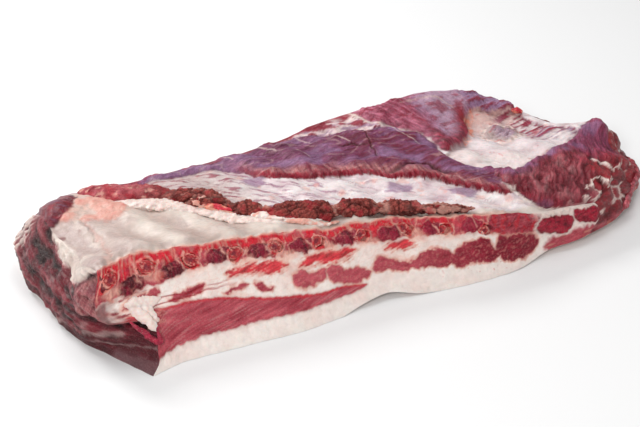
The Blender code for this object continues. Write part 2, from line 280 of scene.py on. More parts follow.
def unevenness(base: Array, a: Array, b: Array, c: Array) -> Array:
    """Slow unevenness in mm that all sheets share, so that their rims meet.

    Args:
        base: Places on the block form.
        a: Share of the length.
        b: Share of the width.
        c: Share of the thickness.

    Returns:
        How far each place is moved.
    """
    slow = [GRAIN.layers(base + 53.0 * k, 34.0, 3) for k in (1, 2, 3)]
    edge = ease(0.06, 0.0, b) * ease(0.78, 1.0, c) * ease(0.9, 0.7, a)
    bead = np.abs(np.sin(math.pi * (base[..., 0] + 240.0) / 36.0))
    scallop = edge * (1.8 * bead + 1.5 * GRAIN.smooth(base, 6.0))
    dip = edge * curve(TOP_DIP, base[..., 0])
    rise = 9.0 * np.exp(-((b - 0.80) / 0.17) ** 2) * ease(0.16, 0.02, a) * c
    corner = curve(CORNER_STEP, c) * np.clip(1 - a, 0, 1) ** 16 * ease(0.30, 0.0, b)
    tip = ease(0.86, 1.0, a)
    peak = 9.0 * np.exp(-((b - 0.53) / 0.09) ** 2) - 4.0 * np.exp(-((b - 0.38) / 0.06) ** 2)
    notch = 6.0 * np.exp(-((b - 0.42) / 0.06) ** 2) * c - 3.0 * np.exp(-((b - 0.27) / 0.05) ** 2)
    frayed = ease(0.8, 1.0, np.abs(2 * a - 1)) * ease(0.1, 0.5, c)
    return np.stack([slow[0] * 0.9 + corner - tip * notch + frayed * GRAIN.layers(base, 12.0, 2),
                     slow[1] * 0.9,
                     (slow[2] * 0.9 + scallop - dip) * ease(0.02, 0.25, c) + tip * peak * c + rise], -1)


@dataclass(frozen=True)
class Outline:
    """A smooth closed outline through a few places in mm."""

    places: Knots
    reach: float = 30.0

    def line(self) -> Array:
        """Points along the outline, several to each stretch."""
        knots = np.asarray(self.places, float)
        t = np.linspace(0, 1, 6, endpoint=False)[:, None]
        before, here, there, after = (np.roll(knots, k, 0) for k in (1, 0, -1, -2))
        parts = [0.5 * (2 * here[i] + (there[i] - before[i]) * t
                        + (2 * before[i] - 5 * here[i] + 4 * there[i] - after[i]) * t**2
                        + (3 * here[i] - before[i] - 3 * there[i] + after[i]) * t**3)
                 for i in range(len(knots))]
        return np.concatenate(parts)

    def inside(self, x: Array, y: Array) -> Array:
        """Distance in mm to the outline, positive inside and at least -reach."""
        line = self.line()
        low, high = line.min(0) - self.reach, line.max(0) + self.reach
        result = np.full(x.shape, -self.reach)
        near = (x > low[0]) & (x < high[0]) & (y > low[1]) & (y < high[1])
        px, py = x[near], y[near]
        best = np.full(px.shape, self.reach**2)
        odd = np.zeros(px.shape, bool)
        for (x1, y1), (x2, y2) in zip(line, np.roll(line, -1, 0)):
            dx, dy = x2 - x1, y2 - y1
            t = np.clip(((px - x1) * dx + (py - y1) * dy) / (dx * dx + dy * dy + 1e-9), 0, 1)
            best = np.minimum(best, (px - x1 - t * dx) ** 2 + (py - y1 - t * dy) ** 2)
            if y1 != y2:
                odd ^= ((y1 > py) != (y2 > py)) & (px < dx * (py - y1) / dy + x1)
        result[near] = np.where(odd, 1, -1) * np.sqrt(best)
        return result


@dataclass(frozen=True)
class Line:
    """A smooth open line through a few places in mm."""

    places: Knots

    def away(self, x: Array, y: Array) -> tuple[Array, Array]:
        """Distance in mm to the line and the share of its length, at each place."""
        knots = np.asarray(self.places, float)
        grown = np.concatenate([2 * knots[:1] - knots[1:2], knots, 2 * knots[-1:] - knots[-2:-1]])
        count = len(knots) - 1
        points = []
        for i in range(count):
            before, here, there, after = grown[i:i + 4]
            for t in np.linspace(0, 1, 6, endpoint=False):
                points.append(0.5 * (2 * here + (there - before) * t
                                     + (2 * before - 5 * here + 4 * there - after) * t**2
                                     + (3 * here - before - 3 * there + after) * t**3))
        points.append(knots[-1])
        best = np.full(x.shape, 1e6)
        share = np.zeros(x.shape)
        for k in range(len(points) - 1):
            (x1, y1), (x2, y2) = points[k], points[k + 1]
            dx, dy = x2 - x1, y2 - y1
            t = np.clip(((x - x1) * dx + (y - y1) * dy) / (dx * dx + dy * dy + 1e-9), 0, 1)
            gap = (x - x1 - t * dx) ** 2 + (y - y1 - t * dy) ** 2
            share = np.where(gap < best, (k + t) / (len(points) - 1), share)
            best = np.minimum(best, gap)
        return np.sqrt(best), share


# ---------------------------------------------------------------- tissues

def linear(code: str) -> Array:
    """Linear colour of an sRGB hex code."""
    channels = np.array([int(code[k:k + 2], 16) for k in (1, 3, 5)]) / 255.0
    return np.where(channels <= 0.04045, channels / 12.92, ((channels + 0.055) / 1.055) ** 2.4)


@dataclass(frozen=True)
class Tissue:
    """Tones and feel of one tissue: how fatty, fibrous and wet it is, from 0 to 1."""

    pale: str
    deep: str
    fat: float = 0.0
    fibre: float = 0.0
    wet: float = 0.5


WHITE_FAT = Tissue("#f1e5de", "#e6c4ba", fat=1.0, wet=0.35)
PINK_FAT = Tissue("#e6b7a8", "#cf8375", fat=0.7, wet=0.5)
ORANGE_FAT = Tissue("#f0a48c", "#d8604c", fat=0.6, wet=0.6)
ROSE_LEAN = Tissue("#d0707a", "#9c3546", fibre=1.0, wet=0.5)
DARK_LEAN = Tissue("#98323f", "#5d1220", fibre=0.6, wet=0.6)
BLOOD_RED = Tissue("#e23a4c", "#9a1022", fibre=0.3, wet=0.9)
LOBE_RED = Tissue("#b3283a", "#7e1428", fibre=0.5, wet=0.9)
LOBE_DARK = Tissue("#ac2c4c", "#560a1e", fibre=0.3, wet=1.0)
SINEW = Tissue("#eadbd3", "#cfb0a8", fat=0.6, wet=0.7)
PLEURA = Tissue("#dccfc5", "#b49d94", fat=0.9, wet=0.9)
GREY_FASCIA = Tissue("#c3b0aa", "#94787a", fat=0.4, wet=0.8)
BLUE_FASCIA = Tissue("#ebe2e1", "#cbb0b6", fat=0.8, wet=0.9)
LILAC = Tissue("#ab8aaa", "#7d5074", fibre=0.6, wet=0.8)
PURPLE = Tissue("#a06184", "#6a284a", fibre=0.9, wet=0.7)
FRINGE = Tissue("#c89490", "#8c3444", fibre=1.0, wet=0.6)
CRIMSON = Tissue("#b02a46", "#680f27", fibre=0.8, wet=0.8)
HUMP = Tissue("#cc8499", "#964058", fibre=0.8, wet=0.6)
BROWN_MEAT = Tissue("#b4606a", "#64182a", fibre=1.0, wet=0.6)
RAW_MEAT = Tissue("#b03a45", "#5c101e", fibre=0.6, wet=0.8)
WALL_MEAT = Tissue("#8e2a3c", "#3a0814", fibre=0.6, wet=0.8)
DULL_ROSE = Tissue("#7e343f", "#44131d", fibre=0.5, wet=0.5)
CRUMB = Tissue("#a04a42", "#64201c", fibre=0.0, wet=0.4)
# Painted shade on and by the diaphragm: in its crevices, on its lower side and on the pleura in front of it.
CRUMB_SHADE = Tissue("#551614", "#2c0606", fibre=0.0, wet=0.5)
BONE_RIM = Tissue("#eebfae", "#d2655c", fat=0.6, wet=0.6)
MARROW = Tissue("#b93038", "#6f0a14", wet=0.9)
STRIP_FAT = Tissue("#e9d6d4", "#c598a3", fat=0.7, wet=0.7)
SHADOW = Tissue("#2c0a0e", "#180406", wet=0.4)


class Canvas:
    """Colour, feel, fibre direction and relief of a surface, point by point."""

    def __init__(self, shape: tuple[int, ...]) -> None:
        """Args: shape: Shape of the surface's grid of points."""
        self.colour = np.zeros(shape + (3,))
        self.grain = np.zeros(shape + (3,))
        self.thread = np.zeros(shape + (3,))
        self.relief = np.zeros(shape)

    def paint(self, tissue: Tissue, amount: Array, tone: Array) -> None:
        """Lay a tissue over the surface.

        Args:
            tissue: What to lay.
            amount: How much of it shows, from 0 to 1.
            tone: 0 for its pale tone, 1 for its deep one.
        """
        amount = np.broadcast_to(np.clip(amount, 0, 1), self.relief.shape)[..., None]
        tone = np.broadcast_to(np.clip(tone, 0, 1), self.relief.shape)[..., None]
        colour = mix(linear(tissue.pale), linear(tissue.deep), tone)
        self.colour = mix(self.colour, colour, amount)
        feel = np.array([tissue.fat, tissue.fibre, tissue.wet])
        self.grain = mix(self.grain, feel, amount)

    def shade(self, amount: Array) -> None:
        """Darken the colour by amount, keeping more of the red: painted shade for creases and hollows."""
        amount = np.clip(amount, 0, 1)[..., None]
        self.colour = self.colour * (1 - amount * np.array([0.75, 0.9, 0.88]))

    def comb(self, place: Array, angle: float, amount: Array | float = 1.0) -> None:
        """Turn the fibres, where amount is over a half.

        Args:
            place: Two coordinates in mm, last axis.
            angle: Direction of the fibres in degrees.
            amount: Where to turn them.
        """
        turn = math.radians(angle)
        along = place[..., 0] * math.cos(turn) + place[..., 1] * math.sin(turn)
        across = place[..., 1] * math.cos(turn) - place[..., 0] * math.sin(turn)
        thread = np.stack([along, across, np.full(along.shape, angle)], -1)
        use = np.broadcast_to(np.asarray(amount) > 0.5, along.shape)[..., None]
        self.thread = np.where(use, thread, self.thread)

    def lift(self, height: Array) -> None:
        """Raise the surface by height in mm."""
        self.relief = self.relief + height


def blur(values: Array, steps: int) -> Array:
    """Average of a grid of values over a few cells."""
    for axis in (0, 1):
        padded = np.pad(values, [(steps, steps) if k == axis else (0, 0) for k in (0, 1)], "edge")
        total = np.cumsum(padded, axis)
        total = np.insert(total, 0, 0, axis)
        size = values.shape[axis]
        upper = np.take(total, np.arange(2 * steps + 1, 2 * steps + 1 + size), axis)
        values = (upper - np.take(total, np.arange(size), axis)) / (2 * steps + 1)
    return values


# ---------------------------------------------------------------- finishes

def add(tree: bpy.types.NodeTree, kind: str, inputs: dict | None = None,
        **settings: Any) -> bpy.types.Node:
    """Add a shader node.

    Args:
        tree: Tree to add it to.
        kind: Blender's name of the node.
        inputs: A value or another node's output for each input, by name or number.
        **settings: The node's own settings.

    Returns:
        The new node.
    """
    node = tree.nodes.new(kind)
    for name, value in settings.items():
        setattr(node, name, value)
    for name, value in (inputs or {}).items():
        if isinstance(value, bpy.types.NodeSocket):
            tree.links.new(value, node.inputs[name])
        else:
            node.inputs[name].default_value = value
    return node


# Colour of the pale specks: fat between the fibres, and painted glints of the wet film.
FLECK = (*linear("#e0b4a8"), 1.0)


@dataclass(frozen=True)
class Flesh:
    """Finish of raw meat and fat: painted tissue with fibres, pores and a wet film.

    Lengths are in mm. Fibres follow the surface's own thread coordinates, and fat
    lets light in while lean stays denser.
    """

    name: str
    fibre_width: float = 1.1     # muscle fibre bundles are 0.5 to 1.5 mm wide
    fibre_length: float = 16.0
    pore: float = 0.9            # fat lobules and fibre ends at a cut
    mottle: float = 6.0          # drained and bloodshot patches
    wet: float = 0.35            # strength of the film of juice
    film_roughness: float = 0.22
    rough_dry: float = 0.62
    rough_wet: float = 0.34
    bump: float = 0.35
    bead: float = 3.0            # juice gathers in beads of about 3 mm
    contrast: float = 1.0        # how strongly fibres and pores show in the colour
    flecks: float = 0.3          # pale specks about 1.5 mm apart: fat between the fibres, and painted glints
    translucency: float = 0.18

    def make(self) -> bpy.types.Material:
        """Build the material."""
        finish = bpy.data.materials.new(self.name)
        finish.use_nodes = True
        tree = finish.node_tree
        tree.nodes.clear()
        tissue = add(tree, "ShaderNodeAttribute", attribute_name="tissue").outputs["Color"]
        grain = add(tree, "ShaderNodeAttribute", attribute_name="grain").outputs["Color"]
        feel = add(tree, "ShaderNodeSeparateColor", {0: grain})
        fat, fibre, wet = (feel.outputs[k] for k in range(3))
        thread = add(tree, "ShaderNodeAttribute", attribute_name="thread").outputs["Vector"]
        place = add(tree, "ShaderNodeTexCoord").outputs["Object"]
        stretched = add(tree, "ShaderNodeVectorMath", {
            0: thread, 1: (1 / self.fibre_length, 1 / self.fibre_width, 1.0)},
            operation="MULTIPLY").outputs[0]
        strands = add(tree, "ShaderNodeTexNoise", {
            "Vector": stretched, "Scale": 1.0, "Detail": 2.0, "Roughness": 0.6}).outputs[0]
        pores = add(tree, "ShaderNodeTexNoise", {
            "Vector": place, "Scale": 1 / (self.pore * MM), "Detail": 2.0,
            "Roughness": 0.6}).outputs[0]
        patches = add(tree, "ShaderNodeTexNoise", {
            "Vector": place, "Scale": 1 / (self.mottle * MM), "Detail": 3.0,
            "Roughness": 0.6}).outputs[0]
        strand_tone = add(tree, "ShaderNodeMapRange", {
            0: strands, 1: 0.3, 2: 0.7, 3: 1 - 0.28 * self.contrast,
            4: 1 + 0.32 * self.contrast}).outputs[0]
        strand_share = add(tree, "ShaderNodeMix", {0: fibre, 2: 1.0, 3: strand_tone}).outputs[0]
        pore_tone = add(tree, "ShaderNodeMapRange", {
            0: pores, 1: 0.3, 2: 0.7, 3: 1 - 0.28 * self.contrast,
            4: 1 + 0.28 * self.contrast}).outputs[0]
        lean_pores = add(tree, "ShaderNodeMix", {0: fat, 2: pore_tone, 3: 1.0}).outputs[0]
        # Pale specks on the lean: fat between the fibres, and painted glints.
        specks = add(tree, "ShaderNodeTexNoise", {
            "Vector": place, "Scale": 1 / (1.3 * MM), "Detail": 2.0, "Roughness": 0.6}).outputs[0]
        speck_share = add(tree, "ShaderNodeMapRange", {
            0: specks, 1: 0.52, 2: 0.80, 3: 0.0, 4: self.flecks}).outputs[0]
        lean_share = add(tree, "ShaderNodeMath", {0: 1.0, 1: fat}, operation="SUBTRACT").outputs[0]
        speck_share = add(tree, "ShaderNodeMath", {0: speck_share, 1: lean_share},
                          operation="MULTIPLY").outputs[0]
        patch_tone = add(tree, "ShaderNodeMapRange", {
            0: patches, 1: 0.3, 2: 0.7, 3: 0.93, 4: 1.06}).outputs[0]
        tone = add(tree, "ShaderNodeMath", {0: strand_share, 1: lean_pores},
                   operation="MULTIPLY").outputs[0]
        tone = add(tree, "ShaderNodeMath", {0: tone, 1: patch_tone}, operation="MULTIPLY").outputs[0]
        toned = add(tree, "ShaderNodeVectorMath", {0: tissue, "Scale": tone},
                    operation="SCALE").outputs[0]
        colour = add(tree, "ShaderNodeMix", {0: speck_share, 6: toned, 7: FLECK},
                     data_type="RGBA").outputs[2]
        dampness = add(tree, "ShaderNodeMath", {0: wet, 1: patches}, operation="MULTIPLY").outputs[0]
        roughness = add(tree, "ShaderNodeMapRange", {
            0: dampness, 1: 0.1, 2: 0.6, 3: self.rough_dry, 4: self.rough_wet}).outputs[0]
        strand_height = add(tree, "ShaderNodeMath", {0: strands, 1: fibre},
                            operation="MULTIPLY").outputs[0]
        softer = add(tree, "ShaderNodeMapRange", {0: fat, 3: 1.0, 4: 0.2}).outputs[0]
        pore_height = add(tree, "ShaderNodeMath", {0: pores, 1: softer},
                          operation="MULTIPLY").outputs[0]
        height = add(tree, "ShaderNodeMath", {0: strand_height, 1: pore_height},
                     operation="ADD").outputs[0]
        bump = add(tree, "ShaderNodeBump", {
            "Strength": self.bump, "Distance": 1.2 * MM, "Height": height}).outputs[0]
        beads = add(tree, "ShaderNodeTexNoise", {
            "Vector": place, "Scale": 1 / (self.bead * MM), "Detail": 1.0}).outputs[0]
        film = add(tree, "ShaderNodeBump", {
            "Strength": self.bump, "Distance": self.bead * MM, "Height": beads,
            "Normal": bump}).outputs[0]
        shader = add(tree, "ShaderNodeBsdfPrincipled", {
            "Base Color": colour, "Roughness": roughness, "Normal": bump,
            "Coat Normal": film,
            "Coat Weight": self.wet, "Coat Roughness": self.film_roughness, "Coat IOR": 1.33,
            "IOR": 1.36, "Specular IOR Level": 0.28, "Subsurface Weight": self.translucency,
            "Subsurface Radius": (1.0, 0.35, 0.25), "Subsurface Scale": 2.2 * MM})
        add(tree, "ShaderNodeOutputMaterial", {0: shader.outputs[0]})
        return finish


SAWN_FLESH = Flesh("sawn fat and lean", fibre_width=1.0, wet=0.3, film_roughness=0.14, bump=0.3,
                   contrast=0.5, flecks=0.16)
RIB_SIDE_FLESH = Flesh("pleura and belly muscle", fibre_width=1.2, wet=0.45, film_roughness=0.12,
                       bump=0.45, flecks=0.1)
TORN_FLESH = Flesh("torn meat and sinew", fibre_width=1.4, wet=0.7, film_roughness=0.1,
                   bump=0.7, flecks=0.14)
FAT_SIDE = Flesh("skinned back fat", wet=0.08, bump=0.3, translucency=0.25)
CRUMBLY_FLESH = Flesh("crumbly diaphragm", pore=0.8, wet=0.05, rough_dry=0.8, rough_wet=0.5,
                      bump=0.9, flecks=0.15)
BONE_FLESH = Flesh("sawn rib end", pore=0.7, wet=0.25, film_roughness=0.15, bump=0.6,
                   flecks=0.12)
FLAP_FLESH = Flesh("torn fat flap", pore=1.0, wet=0.2, translucency=0.3)


# ---------------------------------------------------------------- pieces

def finish_piece(mesh: bpy.types.Mesh, name: str, finish: Flesh,
                 nodes: Sequence[str] = ()) -> bpy.types.Object:
    """Dress a finished mesh and tie it to the model.

    Args:
        mesh: The mesh, with its places in metres.
        name: Name of the piece.
        finish: What it is finished in.
        nodes: Nodes of the construction model that it stands for.

    Returns:
        The piece.
    """
    mesh.materials.append(finish.make())
    piece = bpy.data.objects.new(name, mesh)
    bpy.context.scene.collection.objects.link(piece)
    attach(piece, "root")
    if nodes:
        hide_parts(*nodes)
    LOG.info("%s: %d faces", name, len(mesh.polygons))
    return piece


def store(mesh: bpy.types.Mesh, name: str, values: Array) -> None:
    """Store four numbers a point on a mesh: three values and 1."""
    colours = np.ones((len(mesh.vertices), 4), np.float32)
    colours[:, :3] = values
    mesh.attributes.new(name, "FLOAT_COLOR", "POINT").data.foreach_set("color", colours.ravel())


def store_thread(mesh: bpy.types.Mesh, values: Array) -> None:
    """Store each point's place along, across and between the fibres."""
    flat = np.asarray(values, np.float32).ravel()
    mesh.attributes.new("thread", "FLOAT_VECTOR", "POINT").data.foreach_set("vector", flat)


@dataclass
class Skin:
    """One closed piece of the slab's surface: a fine sheet over the form.

    Its sheet runs from 0 to 1 both ways, and its rim turns inwards by `inset`.
    """

    name: str
    finish: Flesh
    slot: str
    nodes: tuple[str, ...]
    columns: int
    rows: int
    outward: tuple[float, float, float]
    inset: float = 0.03
    soft_rim: float = 5.0

    def block(self, u: Array, v: Array) -> tuple[Array, Array, Array]:
        """Block coordinates of places on the sheet."""
        raise NotImplementedError

    def sink(self, a: Array, b: Array, c: Array) -> tuple[Array, Array, Array]:
        """Block coordinates a little way inside the slab from the rim."""
        low, high = self.inset, 1 - self.inset
        return np.clip(a, low, high), np.clip(b, low, high), np.clip(c, 3 * low, 1 - 3 * low)

    def paint(self) -> None:
        """Paint the canvas from the base places x, y and z."""
        raise NotImplementedError

    def lay(self) -> None:
        """Work out the sheet's base places and its normals."""
        u, v = np.meshgrid(np.linspace(0, 1, self.columns + 1), np.linspace(0, 1, self.rows + 1),
                           indexing="ij")
        self.a, self.b, self.c = np.broadcast_arrays(*self.block(u, v))
        self.base = Slab.place(self.a, self.b, self.c)
        self.x, self.y, self.z = (self.base[..., k] for k in range(3))
        normal = np.cross(np.gradient(self.base, axis=0), np.gradient(self.base, axis=1))
        length = np.linalg.norm(normal, axis=-1, keepdims=True)
        normal = normal / np.maximum(length, 1e-9)
        side = np.sum(normal * self.facing(u, v), axis=-1)
        self.normal = normal * np.where(side < 0, -1.0, 1.0)[..., None]
        self.canvas = Canvas(u.shape)
        steps = np.minimum(np.minimum(u, 1 - u) * self.size(0), np.minimum(v, 1 - v) * self.size(1))
        self.free = ease(0.0, self.soft_rim, steps)

    def facing(self, u: Array, v: Array) -> Array:
        """Rough direction that the sheet faces."""
        return np.broadcast_to(np.array(self.outward), u.shape + (3,))

    def size(self, axis: int) -> float:
        """Length of the sheet in mm along one of its two directions."""
        steps = np.linalg.norm(np.diff(self.base, axis=axis), axis=-1)
        return float(np.median(steps.sum(axis)))

    def wobble(self, reach: float, size: float) -> tuple[Array, Array, Array]:
        """Base places shaken a little, so that painted borders run unevenly."""
        shift = [GRAIN.layers(self.base + 91.0 * k, size, 3) * reach for k in (1, 2, 3)]
        return self.x + shift[0], self.y + shift[1], self.z + shift[2]

    def warp(self) -> Array:
        """Slow unevenness in mm that neighbouring sheets share along their rims."""
        return unevenness(self.base, self.a, self.b, self.c)

    def build(self) -> bpy.types.Object:
        """Make the piece."""
        self.lay()
        self.paint()
        canvas = self.canvas
        # Painted shade: the colour is darkened where the relief lies below its surroundings, in creases and
        # hollows.
        hollow = canvas.relief - blur(canvas.relief, 4)
        canvas.shade(np.clip(-hollow * 0.3, 0, 0.6))
        canvas.colour = canvas.colour ** (1 + WET_DEPTH * (1 - canvas.grain[..., :1]))
        height = canvas.relief * self.free
        surface = self.base + self.normal * height[..., None] + self.warp()
        floor = surface[..., 2:].clip(0.02, None)
        surface = np.concatenate([surface[..., :2], floor], -1)
        sheet = bmesh.new()
        bmesh.ops.create_grid(sheet, x_segments=self.columns, y_segments=self.rows, size=0.5)
        rim = [edge for edge in sheet.edges if edge.is_boundary]
        for edge in rim:
            edge.smooth = False
        turned = bmesh.ops.extrude_edge_only(sheet, edges=rim)["geom"]
        inner = [item for item in turned if isinstance(item, bmesh.types.BMVert)]
        bmesh.ops.translate(sheet, verts=inner, vec=(0, 0, -1))
        inner_edges = [item for item in turned if isinstance(item, bmesh.types.BMEdge)]
        bmesh.ops.edgeloop_fill(sheet, edges=inner_edges)
        bmesh.ops.recalc_face_normals(sheet, faces=sheet.faces)
        mesh = bpy.data.meshes.new(self.name)
        sheet.to_mesh(mesh)
        sheet.free()
        self.unfold(mesh)
        places = self.drape(mesh, surface)
        mesh.vertices.foreach_set("co", (places * MM).astype(np.float32).ravel())
        self.face_out(mesh)
        return finish_piece(mesh, self.name, self.finish, self.nodes)

    def drape(self, mesh: bpy.types.Mesh, surface: Array) -> Array:
        """Give each point of the flat sheet its place, and store what is painted there."""
        flat = np.empty(len(mesh.vertices) * 3, np.float32)
        mesh.vertices.foreach_get("co", flat)
        flat = flat.reshape(-1, 3)
        column = np.rint((flat[:, 0] + 0.5) * self.columns).astype(int)
        row = np.rint((flat[:, 1] + 0.5) * self.rows).astype(int)
        inner = flat[:, 2] < -0.5
        sunk = Slab.place(*self.sink(self.a, self.b, self.c))
        canvas = self.canvas
        store(mesh, "tissue", canvas.colour[column, row])
        store(mesh, "grain", canvas.grain[column, row])
        store_thread(mesh, canvas.thread[column, row])
        return np.where(inner[:, None], sunk[column, row], surface[column, row])

    def unfold(self, mesh: bpy.types.Mesh) -> None:
        """Lay the painted side out over the square, and the hidden side along its edge."""
        chart = mesh.uv_layers.new(name="OFBake")
        corner = np.empty(len(mesh.loops), np.int32)
        mesh.loops.foreach_get("vertex_index", corner)
        flat = np.empty(len(mesh.vertices) * 3, np.float32)
        mesh.vertices.foreach_get("co", flat)
        flat = flat.reshape(-1, 3)[corner]
        margin = 0.01
        across = flat[:, :2] + 0.5
        inner = flat[:, 2:] < -0.5
        spot = np.where(inner, np.array([[0.002, 0.002]]), margin + across * (1 - 2 * margin))
        chart.data.foreach_set("uv", spot.astype(np.float32).ravel())

    def face_out(self, mesh: bpy.types.Mesh) -> None:
        """Turn the mesh's faces outwards."""
        shape = bmesh.new()
        shape.from_mesh(mesh)
        if shape.calc_volume(signed=True) < 0:
            bmesh.ops.reverse_faces(shape, faces=shape.faces)
        shape.to_mesh(mesh)
        shape.free()


LEAN_SHEET = Outline(((-245, 11), (-212, 10), (-178, 12), (-119, 13), (-83, 12), (-52, 13),
                      (-37, 16), (-57, 19), (-80, 20), (-115, 25), (-143, 30), (-163, 34),
                      (-191, 36), (-208, 35), (-245, 37)))
STREAKS = (
    Outline(((-100, 36), (-93, 38), (-83, 34), (-71, 34), (-75, 28), (-89, 26), (-99, 29))),
    Outline(((-70, 34), (-61, 35), (-54, 30), (-41, 29), (-31, 23), (-41, 20), (-56, 21),
             (-68, 26))),
    Outline(((-29, 28), (-22, 33), (-12, 30), (-2, 26), (8, 24), (-2, 19), (-14, 22), (-28, 23))),
    Outline(((4, 24), (12, 28), (27, 31), (40, 27), (46, 21), (33, 18), (20, 19), (8, 20))),
    Outline(((40, 20), (47, 27), (59, 31), (76, 30), (82, 22), (88, 17), (78, 13), (61, 15),
             (45, 15))),
    Outline(((84, 19), (87, 30), (97, 33), (110, 29), (121, 24), (127, 15), (118, 8), (104, 8),
             (90, 11))),
)
SEAM_SHREDS = (
    Outline(((-203, 40), (-189, 43), (-173, 44), (-174, 41), (-190, 38), (-202, 38))),
    Outline(((-234, 45), (-221, 47), (-208, 48), (-209, 44), (-220, 41), (-233, 42))),
    Outline(((-158, 36), (-144, 39), (-137, 38), (-145, 36), (-156, 35))),
    Outline(((-133, 37), (-128, 38), (-122, 33), (-117, 32), (-124, 31), (-131, 34))),
)
RED_BANDS = (
    Outline(((-92, 41), (-77, 46), (-59, 45), (-40, 44), (-46, 39), (-61, 37), (-76, 38))),
    Outline(((-16, 38), (-4, 42), (5, 42), (13, 37), (4, 34), (-5, 35))),
    Outline(((-152, 46), (-140, 50), (-125, 49), (-107, 48), (-101, 43), (-114, 40), (-129, 43))),
)
FLANK_LUMPS = (
    Outline(((126, 27), (136, 33), (153, 31), (166, 24), (161, 17), (145, 17), (132, 21))),
    Outline(((168, 29), (180, 33), (197, 26), (193, 18), (178, 18), (169, 23))),
)
OVER_MUSCLE = Outline(((82, 46), (95, 47), (121, 41), (138, 29), (124, 24), (99, 29), (82, 34)))
EDGE_MEAT = Outline(((133, 12), (150, 16), (172, 16), (190, 17), (212, 18), (215, -8), (170, -8),
                     (136, 3)))
ROW_FOOT = ((-262, 51), (-229, 50), (-200, 51), (-182, 55), (-160, 54), (-139, 53), (-115, 50),
            (-90, 48), (-71, 48), (-39, 46), (-9, 41), (17, 41), (48, 38), (77, 36), (110, 33))
RIB_DRIFT = (1.8, -4.7, -4.6, -4.8, -7.4, -9.0, -5.5, -2.2, -8.5, -10.0)
RIB_END = (6.9, 5.9)


def rib_centres() -> Array:
    """Middle of each sawn rib end in mm: along X and Z, from the construction model."""
    centres = []
    for number, drift in enumerate(RIB_DRIFT, 1):
        low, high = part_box(f"rib_{number:02d}")
        front = Vector((low.x + high.x, 0, low.z + high.z)) / 2 / MM
        centres.append((front.x + drift, high.z / MM - 8.0))
    return np.array(centres)


def rib_size(number: int) -> tuple[float, float]:
    """Half width and half height in mm of a sawn rib end, smaller towards the flank."""
    share = 1 - 0.035 * number
    return RIB_END[0] * share, RIB_END[1] * share


